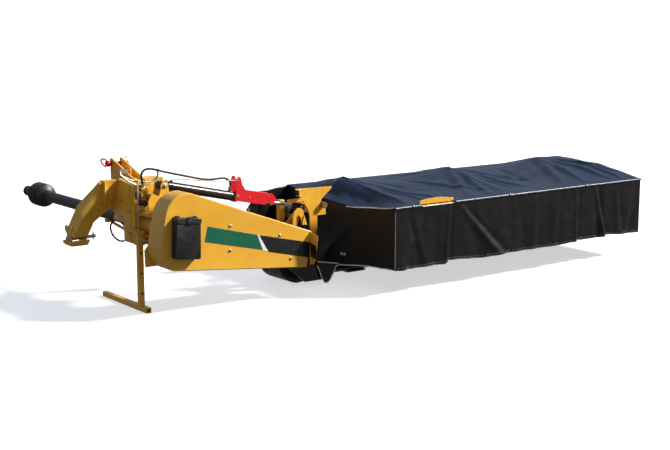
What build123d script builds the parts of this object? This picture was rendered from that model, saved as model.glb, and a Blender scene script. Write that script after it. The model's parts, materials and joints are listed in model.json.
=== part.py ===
from build123d import *
import math
import os

# Three-point disc mower, parked on its stand with the cutterbar down. Millimetres.
# X runs to the right along the cutterbar, Y forward to the tractor, Z up from the ground.
# Places are first given from the inboard rear corner of the curtain, on the ground,
# and every piece is shifted at the end so that the origin is the middle of the footprint.

# Driving dimensions of the whole machine
curtain_length = 2800.0
curtain_depth = 1420.0
driveline_front_y = 3135.0
pto_x, pto_z = -1573.0, 593.0
plate = 12.0

# Drive, shield and fold axis
shield_rear_y = 417.0
shield_depth = 178.0
sheet = 4.0
shield_bevel = 6.0
shield_flange = 66.0
fold_x, fold_z = -620.0, 365.0
beam_gap = 8.0
beam_depth = 90.0
beam_height = 110.0
fold_hub_radius = 95.0
drive_case_radius = 120.0
pivot_radius = 38.0
pivot_end_y = 900.0
housing_radius = 75.0

# Cutterbar
disc_count = 6
disc_pitch = 405.0
disc_first_x = 345.0
bar_y = 1010.0
bar_width = 250.0
bar_low, bar_top = 22.0, 72.0
bar_left = -90.0
knife_reach = 265.0
knife_margin = 15.0
knife_width, knife_thick = 45.0, 5.0
post_width = 40.0
turret_radius, turret_height = 62.0, 12.0
disc_gap = 0.3
disc_plate = 12.0
disc_long, disc_short = 190.0, 120.0
bar_right = disc_first_x + (disc_count - 1) * disc_pitch + knife_reach + knife_margin + post_width

# Curtain and its frame
hem_z = 205.0
inboard_hem_z = 120.0
front_hem_z = 150.0
cloth = 6.0
rear_top_z = 685.0
shoulder_y, ridge_y = 480.0, 1000.0
front_top_z = 705.0
rail_radius = 15.0
bow_radius = 13.0
rail_gap = 0.3
panel_drop = 7.2
spine_left = -200.0
spine_y, spine_z, spine_half = 960.0, 590.0, 30.0

# Hitch
pin_spread = 824.0
arm_width = 125.0
lower_pin_y, lower_pin_z = 1271.0, 488.0
lower_pin_radius = 14.3
pin_end_radius = 12.0
pin_head = 16.0
pin_tail = 90.0
top_pin_y, top_pin_z = 1400.0, 1000.0
top_pin_radius = 12.7
mast_half_gap, mast_plate = 34.0, 12.0
column_half = 120.0
column_rear_y, column_front_y = 900.0, 1150.0
column_low, column_top = 462.0, 905.0
column_drop = 27.0
column_rib = 8.0

# Driveline
shaft_radius = 17.5
pto_bore_radius = 17.4
bore_depth = 78.0
tube_radius, tube_wall = 45.0, 4.0
bell_radius, bell_length = 90.0, 165.0
bell_inner = 60.0
bell_setback = 235.0
cover_radius, cover_wall = 96.0, 5.0
rest_gap = 0.3

# Stand
stand_x, stand_y = -1722.0, 782.0
leg_size = 38.0
leg_wall = 4.0
leg_top_z = 572.0
foot_rear_y, foot_front_y = 668.0, 1368.0
sleeve_wall = 5.0
sleeve_length = 88.0
slide_gap = 0.6
stand_pin_radius = 8.0

# Lift cylinder
lift_y = 750.0
base_x, base_z = -1555.0, 902.0
eye_x, eye_z = -345.0, 633.0
barrel_radius = 35.0
barrel_length = 645.0
gland_length = 22.0
bore_start = 62.0
fold_travel = 80.0
fork_length = 78.0
rod_radius = 15.0
base_pin_radius = 12.0
base_ear_gap, base_ear = 40.0, 12.0
lug_half = 10.0
eye_radius = 14.0
fork_gap = 4.0
fork_wall = 14.0
lock_gap = 8.0
lock_plate = 6.0

# Lines
hose_diameter = 16.0
rope_diameter = 8.0
hose_start = (-1640.0, 868.0, 882.0)

# Shift from the curtain corner to the middle of the footprint
middle_x = (curtain_length + pto_x - pin_spread / 2 - arm_width / 2 - pin_head) / 2
middle_y = driveline_front_y / 2

nodes = {}


def keep(name, shape):
    """Moves a finished piece to the machine's origin and keeps it under its name."""
    nodes[name] = Pos(-middle_x, -middle_y, 0) * shape


def prism_xz(points, y_low, y_high):
    """A prism along Y with the outline given in X and Z."""
    return extrude_y(make_face(Polyline(*points, close=True)), y_low, y_high)


def extrude_y(outline, y_low, y_high):
    """A drawn outline, with X and Z as its two directions, extruded along Y."""
    plane = Plane(origin=(0, y_high, 0), x_dir=(1, 0, 0), z_dir=(0, -1, 0))
    return extrude(plane * outline, amount=y_high - y_low)


def prism_yz(points, x_low, x_high):
    """A prism along X with the outline given in Y and Z."""
    plane = Plane(origin=(x_low, 0, 0), x_dir=(0, 1, 0), z_dir=(1, 0, 0))
    outline = plane * make_face(Polyline(*points, close=True))
    return extrude(outline, amount=x_high - x_low)


def block(x_low, x_high, y_low, y_high, z_low, z_high):
    """A box between two corners."""
    size = (x_high - x_low, y_high - y_low, z_high - z_low)
    centre = ((x_low + x_high) / 2, (y_low + y_high) / 2, (z_low + z_high) / 2)
    return Pos(*centre) * Box(*size)


def rod(start, end, radius):
    """A round bar from one point to another."""
    a, b = Vector(*start), Vector(*end)
    plane = Plane(origin=(a + b) * 0.5, z_dir=(b - a).normalized())
    return plane * Cylinder(radius, (b - a).length)


def bar(start, end, across, wide):
    """A rectangular bar; across is its size along Y, wide its other side."""
    a, b = Vector(*start), Vector(*end)
    plane = Plane(origin=(a + b) * 0.5, x_dir=(0, 1, 0), z_dir=(b - a).normalized())
    return plane * Box(across, wide, (b - a).length)


def round_y(x, z, radius, y_low, y_high):
    """A cylinder along Y."""
    return rod((x, y_low, z), (x, y_high, z), radius)


def round_x(y, z, radius, x_low, x_high):
    """A cylinder along X."""
    return rod((x_low, y, z), (x_high, y, z), radius)


def joined(pieces):
    """All the pieces as one shape."""
    whole = pieces[0]
    for piece in pieces[1:]:
        whole += piece
    return whole


def column_roof(y):
    """Height of the upper face of the column's sloping top plate."""
    slope = column_drop / (column_front_y - column_rear_y)
    return column_top + plate - slope * (column_front_y - y)


def headstock():
    """The column: side plates with pressed ribs and forward gussets, rear plate, top plate and foot tie."""
    left, right = pto_x - column_half, pto_x + column_half
    foot_depth, waist, gusset_reach, gusset_z = 175.0, 137.0, 99.0, 205.0
    tie_depth = 30.0
    rib_start, rib_width = 62.0, 40.0
    side = [
        (column_rear_y, column_low), (column_rear_y + foot_depth, column_low),
        (column_rear_y + foot_depth + 6, column_low + waist),
        (column_front_y + gusset_reach, column_low + gusset_z),
        (column_front_y, column_top), (column_rear_y, column_top - column_drop),
    ]
    roof = [(column_rear_y, column_roof(column_rear_y) - plate), (column_front_y, column_top),
            (column_front_y, column_top + plate), (column_rear_y, column_roof(column_rear_y))]
    rib_y = column_rear_y + rib_start
    rib = [(rib_y, column_low + 6), (rib_y + rib_width, column_low + 6),
           (rib_y + rib_width, column_top - column_drop), (rib_y, column_top - column_drop)]
    pieces = [prism_yz(side, left, left + plate), prism_yz(side, right - plate, right), prism_yz(roof, left, right)]
    rear_high = column_top - column_drop + plate / 2
    pieces.append(block(left, right, column_rear_y, column_rear_y + plate, column_low, rear_high))
    tie_y = column_rear_y + foot_depth - tie_depth
    pieces.append(block(left, right, tie_y, tie_y + tie_depth, column_low, column_low + 20))
    pieces.append(prism_yz(rib, left - column_rib, left))
    pieces.append(prism_yz(rib, right, right + column_rib))
    x, y, z = hose_start
    pieces.append(block(x - 13, x + 13, y - 12, column_rear_y, z - 20, z - 2.5))
    return joined(pieces) - round_y(pto_x, pto_z, housing_radius, column_rear_y - 5, column_rear_y + plate + 5)


arm_sections = [
    # outer low corner: distance out, y, z; inner low corner: distance out, y, z; outer high corner: y, z
    (258.0, 1192.0, 756.0, 162.0, 1224.0, 683.0, 1173.0, 906.0),
    (392.0, 1185.0, 653.0, 292.0, 1214.0, 603.0, 1285.0, 723.0),
    (474.0, 1181.0, 508.0, 349.0, 1206.0, 504.0, 1284.0, 560.0),
]


def arm_neck(side):
    """The gooseneck lofted through slanted box sections. side is -1 for the left arm, 1 for the right."""
    faces = []
    for out, y, z, inner_out, inner_y, inner_z, high_y, high_z in arm_sections:
        low = Vector(pto_x + side * out, y, z)
        inner = Vector(pto_x + side * inner_out, inner_y, inner_z)
        high = Vector(pto_x + side * out, high_y, high_z)
        corner = inner + high - low
        faces.append(make_face(Polyline(low, inner, corner, high, close=True)))
    return loft(faces, ruled=True)


def arm_root(side):
    """The arm's root on the column's side, with the gusset over it."""
    reach, gusset_in, gusset_out = 107.0, 50.0, 60.0
    at_column = [(column_front_y - 5, column_top), (column_front_y + 105, 667.0), (column_front_y + 110, 760.0),
                 (column_front_y + 90, column_top)]
    at_reach = [(column_front_y + 1, column_top - 2), (column_front_y + 3, 741.0), (column_front_y + 90, 741.0),
                (column_front_y + 90, column_top - 2)]
    faces = []
    for out, points in ((column_half, at_column), (column_half + reach, at_reach)):
        plane = Plane(origin=(pto_x + side * out, 0, 0), x_dir=(0, 1, 0), z_dir=(1, 0, 0))
        faces.append(plane * make_face(Polyline(*points, close=True)))
    gusset = [(column_front_y + 20, 760.0), (column_front_y + 20, column_top), (1306.0, 878.0), (1365.0, 814.0),
              (1290.0, 700.0)]
    edges = sorted((pto_x + side * (column_half + gusset_in), pto_x + side * (column_half + gusset_out)))
    return loft(faces, ruled=True) + prism_yz(gusset, edges[0], edges[1])


def lower_arm(side):
    """A lower arm: root, gooseneck, two cheeks with the pin's bore, a flared lip and the turned-up sole plate."""
    pin_x = pto_x + side * pin_spread / 2
    half = arm_width / 2
    low, high = lower_pin_z - 38, lower_pin_z + 95
    back, front = lower_pin_y - 50, lower_pin_y + 62
    cheek = [(back, low), (front, low), (front, low + 22), (lower_pin_y + 25, lower_pin_z - 4),
             (lower_pin_y + 25, lower_pin_z + 40), (front - 5, lower_pin_z + 62), (front - 12, high), (back, high)]
    sole = [(back - 40, low + 36), (back - 6, low), (front + 4, low), (front + 4, low - plate),
            (back - 12, low - plate), (back - 50, low + 28)]
    piece = arm_root(side) + arm_neck(side)
    piece -= block(pin_x - half + plate, pin_x + half - plate, back + plate, front + 60, low, lower_pin_z + 60)
    piece -= block(pin_x - 2 * half, pin_x + 2 * half, back - 80, front + 60, low - 60, low)
    piece += prism_yz(cheek, pin_x - half, pin_x - half + plate)
    piece += prism_yz(cheek, pin_x + half - plate, pin_x + half)
    piece += prism_yz(sole, pin_x - half, pin_x + half)
    outer = pin_x + side * half
    lip = [(outer, front - 34), (outer + side * (pin_head - 2), front), (outer, front)]
    piece += extrude(Pos(0, 0, low) * make_face(Polyline(*lip, close=True)), amount=22)
    return piece - round_x(lower_pin_y, lower_pin_z, pin_end_radius, pin_x - half - 1, pin_x + half + 1)


def lower_pin(side):
    """The hitch pin through both cheeks: a head outside, and a long tail with its lynch hole inside."""
    pin_x = pto_x + side * pin_spread / 2
    half = arm_width / 2
    grip = half - plate
    outer, inner = pin_x + side * half, pin_x - side * half
    tail, head = inner - side * pin_tail, outer + side * pin_head
    y, z = lower_pin_y, lower_pin_z
    body = round_x(y, z, pin_end_radius, min(head, tail), max(head, tail))
    body += round_x(y, z, lower_pin_radius, pin_x - grip, pin_x + grip)
    collar = outer + side * 8
    body += round_x(y, z, lower_pin_radius + 7, min(outer, collar), max(outer, collar))
    hole_x = tail + side * 16
    return body - rod((hole_x, y, z - 20), (hole_x, y, z + 20), 4.5)


def mast():
    """Two tapered plates that carry the top-link pin, with a brace between them."""
    chin_z, nose_z, crown_z = 885.0, 877.0, top_pin_z + 38
    seat_y = column_front_y - 150
    outline = [(seat_y, column_roof(seat_y)), (column_front_y, column_roof(column_front_y)), (column_front_y, chin_z),
               (top_pin_y + 15, nose_z), (top_pin_y + 22, crown_z), (top_pin_y - 6, crown_z)]
    foot = column_top + plate
    pieces = []
    for side in (-1, 1):
        inner = pto_x + side * mast_half_gap
        outer = inner + side * mast_plate
        pieces.append(prism_yz(outline, min(inner, outer), max(inner, outer)))
    pieces.append(block(pto_x - mast_half_gap, pto_x + mast_half_gap, column_front_y + 20, column_front_y + 110,
                        foot - plate, foot))
    bore = mast_half_gap + mast_plate + 2
    return joined(pieces) - round_x(top_pin_y, top_pin_z, pin_end_radius, pto_x - bore, pto_x + bore)


def top_pin():
    """The top-link pin with its ball grip on the left."""
    reach = mast_half_gap + mast_plate
    y, z = top_pin_y, top_pin_z
    body = round_x(y, z, pin_end_radius, pto_x - reach - 6, pto_x + reach + 40)
    body += round_x(y, z, top_pin_radius, pto_x - mast_half_gap, pto_x + mast_half_gap)
    body += Pos(pto_x - reach - 28, y, z) * Sphere(23)
    return body + round_x(y, z, 17, pto_x - reach - 12, pto_x - reach)


def input_housing():
    """Bearing housing of the input shaft, from the shield through the column, with its flange."""
    y_back = shield_rear_y + shield_depth
    body = round_y(pto_x, pto_z, housing_radius, y_back, column_front_y - 60)
    body += round_y(pto_x, pto_z, housing_radius + 30, column_rear_y + plate, column_rear_y + plate + 18)
    return body - round_y(pto_x, pto_z, shaft_radius + 0.05, y_back - 1, column_front_y)


def driveline_cover():
    """Half round cover over the driveline's rear joint, on two ears inside the column's side plates."""
    start, end = column_front_y - 40, column_front_y + 130
    outer = cover_radius + cover_wall
    ring = round_y(pto_x, pto_z, outer, start, end) - round_y(pto_x, pto_z, cover_radius, start - 1, end + 1)
    ring -= block(pto_x - 200, pto_x + 200, start - 5, end + 5, pto_z - 200, pto_z)
    for side in (-1, 1):
        edges = sorted((pto_x + side * (cover_radius + 1), pto_x + side * (column_half - plate)))
        ring += block(edges[0], edges[1], start, start + plate, pto_z, pto_z + 40)
    return ring


def driveline_guard():
    """Plastic guard: a cone at the machine end, a long tube, and a ribbed bell at the tractor end."""
    start, end = column_front_y + 60, driveline_front_y - bell_setback
    y = end - bell_length
    profile = [(bell_inner, start), (68.0, start), (70.0, start + 12), (tube_radius, start + 110),
               (tube_radius, y - 44), (tube_radius + 6, y - 38), (tube_radius + 8, y - 22),
               (bell_radius - 18, y - 12), (bell_radius, y)]
    rings, pitch, groove = 5, 24.0, 8.0
    for index in range(rings):
        at = y + 35 + index * pitch
        profile.append((bell_radius, at))
        profile.append((bell_radius - groove, at + pitch * 0.4))
        profile.append((bell_radius - groove, at + pitch * 0.6))
    profile.append((bell_radius - 6, end))
    profile.append((bell_radius - 6 - tube_wall, end))
    profile.append((bell_radius - 24, y + 10))
    profile.append((tube_radius - tube_wall, y - 20))
    profile.append((tube_radius - tube_wall, start + 112))
    plane = Plane(origin=(pto_x, 0, pto_z), x_dir=(1, 0, 0), z_dir=(0, 0, 1))
    outline = plane * make_face(Polyline(*profile, close=True))
    return revolve(outline, axis=Axis((pto_x, 0, pto_z), (0, 1, 0)))


def joint_cross(y):
    """The cross of a universal joint."""
    return round_x(y, pto_z, 13, pto_x - 40, pto_x + 40) + rod((pto_x, y, pto_z - 40), (pto_x, y, pto_z + 40), 13)


def joint_ears(y_low, y_high, upright):
    """The two ears of a yoke, above and below the axis where upright, else left and right of it."""
    near, far, half = 26.0, 38.0, 20.0
    ears = []
    for side in (-1, 1):
        low, high = min(side * near, side * far), max(side * near, side * far)
        if upright:
            ears.append(block(pto_x - half, pto_x + half, y_low, y_high, pto_z + low, pto_z + high))
        else:
            ears.append(block(pto_x + low, pto_x + high, y_low, y_high, pto_z - half, pto_z + half))
    return ears


def driveline_shaft():
    """The turning part: input stub, rear joint, telescoping tube, front joint and the tractor yoke's bore."""
    rear = column_rear_y - 200
    rear_joint, front_joint = column_front_y + 70, driveline_front_y - 130
    hub = 38.0
    pieces = [round_y(pto_x, pto_z, shaft_radius, rear, column_front_y + 20)]
    pieces.append(round_y(pto_x, pto_z, hub, column_front_y - 40, column_front_y + 34))
    pieces += joint_ears(column_front_y + 30, rear_joint + 20, True)
    pieces.append(joint_cross(rear_joint))
    pieces += joint_ears(rear_joint - 20, rear_joint + 44, False)
    pieces.append(round_y(pto_x, pto_z, hub, rear_joint + 40, rear_joint + 60))
    pieces.append(round_y(pto_x, pto_z, 24, rear_joint + 50, front_joint - 60))
    pieces.append(round_y(pto_x, pto_z, hub, front_joint - 70, front_joint - 40))
    pieces += joint_ears(front_joint - 44, front_joint + 20, False)
    pieces.append(joint_cross(front_joint))
    pieces += joint_ears(front_joint - 20, front_joint + 40, True)
    pieces.append(round_y(pto_x, pto_z, hub, front_joint + 36, driveline_front_y))
    pieces.append(round_y(pto_x, pto_z, hub + 6, driveline_front_y - 34, driveline_front_y - 12))
    return joined(pieces) - round_y(pto_x, pto_z, pto_bore_radius, driveline_front_y - bore_depth, driveline_front_y + 1)


def shaft_rest():
    """Bracket on the column's foot that holds the driveline's guard while parked."""
    y = column_front_y + 330
    cup = tube_radius + rest_gap
    tie_y = column_rear_y + 175
    body = block(pto_x - 58, pto_x + 58, y, y + 40, pto_z - cup - 8, pto_z - 22)
    body -= round_y(pto_x, pto_z, cup, y - 1, y + 41)
    body += rod((pto_x, tie_y - 15, column_low + 12), (pto_x, y + 20, pto_z - cup - 16), 11)
    return body - block(pto_x - 60, pto_x + 60, column_rear_y, tie_y, column_low - 20, column_low + 20)


def stand_leg():
    """Square tube leg with its holes, welded on the foot bar near its rear end."""
    half = leg_size / 2
    inner = half - leg_wall
    leg = block(stand_x - half, stand_x + half, stand_y - half, stand_y + half, leg_size, leg_top_z)
    leg -= block(stand_x - inner, stand_x + inner, stand_y - inner, stand_y + inner, leg_size, leg_top_z + 1)
    for z in (423.0, 275.0, 127.0):
        leg -= rod((stand_x, stand_y - half - 1, z), (stand_x, stand_y + half + 1, z), 10)
    foot = block(stand_x - half, stand_x + half, foot_rear_y, foot_front_y, 0, leg_size)
    foot -= block(stand_x - inner, stand_x + inner, foot_rear_y - 1, foot_front_y + 1, leg_wall, leg_size - leg_wall)
    return leg + foot


def sleeve_span():
    """Lower and upper end of the stand's sleeve."""
    high = leg_top_z - 4
    return high - sleeve_length, high


def stand_sleeve():
    """Guide tube of the leg with its collar, hung on the column by a top hanger, a shelf and a web."""
    inner = leg_size / 2 + slide_gap
    outer = inner + sleeve_wall
    low, high = sleeve_span()
    left_face = pto_x - column_half
    body = block(stand_x - outer, stand_x + outer, stand_y - outer, stand_y + outer, low, high)
    body += block(stand_x - outer - 12, left_face, stand_y - outer - 6, column_rear_y + 50, high, high + 8)
    body += block(stand_x - outer - 4, left_face + plate, stand_y - outer - 4, column_rear_y, low + 8, low + 16)
    body += block(left_face, left_face + 8, stand_y, column_rear_y, low + 16, high + 8)
    body += block(stand_x - outer - 4, stand_x + outer + 4, stand_y - outer - 4, stand_y + outer + 4, low, low + 8)
    body -= block(stand_x - inner, stand_x + inner, stand_y - inner, stand_y + inner, low - 1, high + 9)
    z = (low + high) / 2
    return body - rod((stand_x, stand_y - outer - 20, z), (stand_x, stand_y, z), stand_pin_radius)


def stand_pin():
    """Spring pin in the sleeve's rear wall, with its spring housing and pull bar."""
    inner = leg_size / 2 + slide_gap
    face = stand_y - inner - sleeve_wall
    low, high = sleeve_span()
    z = (low + high) / 2
    body = rod((stand_x, stand_y - inner, z), (stand_x, face - 80, z), stand_pin_radius)
    body += rod((stand_x, face - 42, z), (stand_x, face, z), 14)
    return body + rod((stand_x - 22, face - 72, z), (stand_x + 22, face - 72, z), 5)


def main_beam():
    """Box beam in front of the shield, from the column down to the fold axis, with its end plate and pivot."""
    y_low = shield_rear_y + shield_depth + beam_gap
    y_high = y_low + beam_depth
    y_mid = (y_low + y_high) / 2
    pieces = [bar((pto_x, y_mid, pto_z), (fold_x, y_mid, fold_z), beam_depth, beam_height)]
    pieces.append(round_y(fold_x, fold_z, fold_hub_radius, y_low, y_high))
    pieces.append(round_y(pto_x, pto_z, drive_case_radius, y_low, y_high))
    tie_half, tie_drop, tie_rise, tie = 105.0, 110.0, 90.0, 18.0
    for z in (pto_z - tie_drop, pto_z + tie_rise):
        pieces.append(block(pto_x - tie_half, pto_x + tie_half, y_high - 20, column_rear_y, z, z + tie))
    end_plate = [(pto_x - 197, 352.0), (pto_x - 202, 470.0), (pto_x - 127, 560.0), (pto_x - 20, pto_z), (pto_x - 40, 352.0)]
    pieces.append(prism_xz(end_plate, y_low, y_low + 14))
    body = joined(pieces) - round_y(pto_x, pto_z, housing_radius, y_low - 1, y_high + 1)
    return body + round_y(fold_x, fold_z, pivot_radius, y_high - 10, pivot_end_y)


def shield_face(inset):
    """The belt shield's outline in X and Z, drawn inwards: round over the input, tapered to a square end."""
    left = -1755.0 + inset
    low_left = (-1651.0, 339.0 + inset)
    low_right = (-517.0 - inset, 228.0 + inset)
    high_right = (-462.0 - inset, 484.0)
    top_right = (-472.0 - inset, 500.0 - inset)
    bend = (-1043.0, 706.0 - inset)
    crown = (-1500.0, 876.0 - inset)
    shoulder = (-1706.0 + inset, 757.0)
    flank = (left, 520.0)
    edges = [
        Line(low_left, low_right), Line(low_right, high_right), Line(high_right, top_right),
        Line(top_right, bend), Line(bend, crown),
        ThreePointArc(crown, (-1618.0 + inset * 0.5, 857.0 - inset), shoulder),
        Line(shoulder, flank),
        ThreePointArc(flank, (-1727.0 + inset, 396.0 + inset), low_left),
    ]
    return make_face(edges)


def belt_shield():
    """Dished sheet cover over the belt, with a bevelled rear edge and a flange turned back at its outer end."""
    front = shield_rear_y + shield_depth
    faces = []
    for inset, y in ((shield_bevel, shield_rear_y), (0.0, shield_rear_y + shield_bevel)):
        plane = Plane(origin=(0, y, 0), x_dir=(1, 0, 0), z_dir=(0, -1, 0))
        faces.append(plane * shield_face(inset))
    outer = loft(faces, ruled=True) + extrude_y(shield_face(0.0), shield_rear_y + shield_bevel, front)
    inner = extrude_y(shield_face(sheet), shield_rear_y + shield_bevel, front - sheet)
    rear = shield_rear_y + shield_bevel
    wing = [(rear, 478.0), (shield_rear_y - shield_flange, 462.0), (shield_rear_y - shield_flange, 290.0),
            (shield_rear_y - shield_flange * 0.6, 255.0), (rear, 246.0)]
    wing_x = -478.0
    body = outer + prism_yz(wing, wing_x - sheet, wing_x)
    body -= inner
    body -= round_y(pto_x, pto_z, housing_radius - 10, front - sheet - 1, front + 1)
    return body - round_y(fold_x, fold_z, 60, front - sheet - 1, front + 1)


def document_box():
    """Moulded box with ribs, a lid with a lip, and a latch tab on the shield's rear face."""
    left, right = -1640.0, -1478.0
    low, high, depth = 428.0, 700.0, 88.0
    back, front = shield_rear_y, shield_rear_y - depth
    side = [(back, low), (front + 12, low), (front, low + 14), (front + 4, high - 34), (front + 12, high - 30),
            (back, high - 30)]
    lid = [(back, high - 30), (front - 2, high - 30), (front - 2, high - 14), (front + depth * 0.4, high), (back, high)]
    middle = (left + right) / 2
    pieces = [prism_yz(side, left + 5, right - 5), prism_yz(lid, left, right)]
    pieces.append(block(middle - 16, middle + 16, front - 8, front + 8, high - 60, high - 26))
    for x in (left + 26, middle - 4, right - 34):
        pieces.append(block(x, x + 8, front - 2, front + 12, low + 26, high - 74))
    return joined(pieces)


def lift_base():
    """Two rounded ears on a foot plate at the column's head, the cylinder's pin, and the plate below them."""
    tip, foot_drop, foot = 30.0, 85.0, 15.0
    foot_left, foot_right = base_x - 50, base_x + 45
    low_z = base_z - foot_drop
    outline = [(foot_left, low_z), (foot_right, low_z), (base_x + tip * 0.94, base_z - 10),
               (base_x - tip * 0.94, base_z - 10)]
    pieces = []
    for side in (-1, 1):
        inner = lift_y + side * base_ear_gap
        outer = inner + side * base_ear
        low, high = min(inner, outer), max(inner, outer)
        pieces.append(prism_xz(outline, low, high))
        pieces.append(round_y(base_x, base_z, tip, low, high))
    rear_y = lift_y - base_ear_gap - base_ear
    front_y = lift_y + base_ear_gap + base_ear
    pieces.append(block(foot_left, foot_right, rear_y, column_rear_y, low_z, low_z + foot))
    pieces.append(round_y(base_x, base_z, base_pin_radius, rear_y - 10, front_y + 10))
    under = pto_z + 110
    skirt = [(foot_right, under), (foot_right, low_z + foot), (base_x - 60, low_z + foot), (base_x - 105, base_z - 45),
             (base_x - 135, base_z - 100), (base_x - 135, under)]
    pieces.append(prism_xz(skirt, rear_y - 4, rear_y + 6))
    return joined(pieces)


def lift_frame():
    """Direction of the cylinder at rest, from its base pin to the rod's eye."""
    run = math.hypot(eye_x - base_x, eye_z - base_z)
    return (eye_x - base_x) / run, (eye_z - base_z) / run, run


def folded_run():
    """Distance from the base pin to the rod's eye when the cutterbar is folded up."""
    angle = math.radians(fold_travel)
    across, up = eye_x - fold_x, eye_z - fold_z
    x = fold_x + across * math.cos(angle) - up * math.sin(angle)
    z = fold_z + up * math.cos(angle) + across * math.sin(angle)
    return math.hypot(x - base_x, z - base_z)


def along(distance, side=0.0):
    """A point on the cylinder's line, and beside it in the X Z plane."""
    dx, dz, run = lift_frame()
    return base_x + dx * distance - dz * side, base_z + dz * distance + dx * side


def lift_span(low, high, radius):
    """A round piece of the cylinder between two distances from the base pin."""
    a, b = along(low), along(high)
    return rod((a[0], lift_y, a[1]), (b[0], lift_y, b[1]), radius)


def cylinder_barrel():
    """Barrel with its base eye, weld ring, port bosses and gland."""
    pieces = [lift_span(45, barrel_length, barrel_radius)]
    pieces.append(lift_span(barrel_length, barrel_length + gland_length, barrel_radius - 4))
    pieces.append(round_y(base_x, base_z, 30, lift_y - base_ear_gap + 6, lift_y + base_ear_gap - 6))
    pieces.append(lift_span(0, 60, 22))
    for at in (76.0, barrel_length - 70):
        foot, head = along(at, barrel_radius - 6), along(at, barrel_radius + 12)
        pieces.append(rod((foot[0], lift_y, foot[1]), (head[0], lift_y, head[1]), 10))
    body = joined(pieces) - round_y(base_x, base_z, base_pin_radius + 0.1, lift_y - 40, lift_y + 40)
    return body - lift_span(bore_start, barrel_length + 40, rod_radius + 0.05)


lock_outline = [
    # distance along the cylinder, height beside it
    (612.0, -30.0), (612.0, 40.0), (596.0, 100.0), (604.0, 150.0), (628.0, 150.0), (655.0, 98.0), (692.0, 60.0),
    (938.0, 67.0), (986.0, 28.0), (946.0, -24.0), (930.0, -18.0), (922.0, 2.0), (906.0, 6.0), (892.0, -4.0),
    (886.0, -26.0), (700.0, -30.0),
]


def transport_lock():
    """Two hooked side plates on studs at the barrel's end, with the horn that the rope pulls."""
    inner = lug_half + fork_gap + fork_wall + lock_gap
    outline = [along(at, high) for at, high in lock_outline]
    low, high = lift_y - inner - lock_plate, lift_y + inner + lock_plate
    body = prism_xz(outline, low, low + lock_plate)
    body += prism_xz(outline, high - lock_plate, high)
    web = [along(665, 56), along(665, 62), along(735, 62), along(735, 56)]
    body += prism_xz(web, low, high)
    collar = lift_span(barrel_length - 28, barrel_length - 2, barrel_radius + 6)
    mid = along(barrel_length - 15)
    collar += round_y(mid[0], mid[1], 9, low, high)
    return body + collar - lift_span(barrel_length - 60, barrel_length, barrel_radius)


def cylinder_rod():
    """Chromed rod; its hidden end stays in the barrel over the whole stroke."""
    run = lift_frame()[2]
    return lift_span(bore_start + run - folded_run() + 10, run - fork_length, rod_radius)


def rod_fork():
    """Fork on the rod's end, rounded at its tips; the lug runs free between its arms."""
    run = lift_frame()[2]
    half, tip = lug_half + fork_gap, 26.0
    start, end = run - fork_length + 10, run - fork_length + 24
    body = lift_span(run - fork_length, run - fork_length + 14, tip)
    arm = [along(start, -tip), along(run, -tip), along(run, tip), along(start, tip)]
    for side in (-1, 1):
        inner = lift_y + side * half
        outer = inner + side * fork_wall
        low, high = min(inner, outer), max(inner, outer)
        body += prism_xz(arm, low, high) + round_y(eye_x, eye_z, tip, low, high)
    bridge = [along(start, -tip), along(end, -tip), along(end, tip), along(start, tip)]
    return body + prism_xz(bridge, lift_y - half - fork_wall, lift_y + half + fork_wall)


def carrier_rear():
    """Place of the carrier's rear face, clear of the beam."""
    return shield_rear_y + shield_depth + beam_gap + beam_depth + 6


def carrier():
    """Casting that turns on the fold pivot and carries the cutterbar, with the lug for the cylinder."""
    y_low, y_high = carrier_rear(), pivot_end_y - 10
    hub, heel = 62.0, -330.0
    web = [(fold_x - 10, fold_z - hub), (fold_x + hub, fold_z + 20), (-240.0, 250.0), (-150.0, 180.0),
           (bar_left, 120.0), (bar_left, 40.0), (heel, 40.0), (-440.0, 130.0)]
    lug = [(fold_x + 20, fold_z + 40), (fold_x + 150, fold_z - 60), (eye_x + 27, eye_z - 12), (eye_x - 24, eye_z - 12)]
    pieces = [round_y(fold_x, fold_z, hub, y_low, y_high)]
    pieces.append(prism_xz(web, y_high - 60, y_high))
    pieces.append(prism_xz(web, y_low, y_low + 25))
    pieces.append(block(heel, bar_left, y_low, bar_y + bar_width / 2, 40, 110))
    pieces.append(prism_xz(lug, lift_y - lug_half, lift_y + lug_half))
    pieces.append(round_y(eye_x, eye_z, 28, lift_y - lug_half, lift_y + lug_half))
    body = joined(pieces) - round_y(eye_x, eye_z, eye_radius, lift_y - 40, lift_y + 40)
    return body - round_y(fold_x, fold_z, pivot_radius + 0.05, y_low - 1, y_high + 1)


def lift_lever():
    """Triangular bracket on the carrier's rear face, its open top tube, and the cross tube to the spine."""
    y_high = carrier_rear()
    low, high = spine_z - spine_half, spine_z + spine_half
    cross_right = spine_left + 2 * spine_half
    outline = [(-428.0, 784.0), (-79.0, 777.0), (-86.0, 762.0), (-176.0, 690.0), (-212.0, high + 8), (cross_right, high),
               (cross_right, low), (-222.0, low), (-222.0, 222.0), (-292.0, 222.0), (-292.0, low), (-304.0, 606.0),
               (-350.0, 676.0)]
    body = prism_xz(outline, y_high - plate, y_high)
    stub_left, stub_right, stub_top, stub_wall = -426.0, -366.0, 780.0, 5.0
    stub = block(stub_left, stub_right, y_high - 60, y_high - plate, stub_top - 50, stub_top)
    stub -= block(stub_left + stub_wall, stub_right - stub_wall, y_high - 61, y_high - plate,
                  stub_top - 50 + stub_wall, stub_top - stub_wall)
    cross = block(spine_left, cross_right, y_high, spine_y - spine_half, low, high)
    return body + stub + cross


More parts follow.
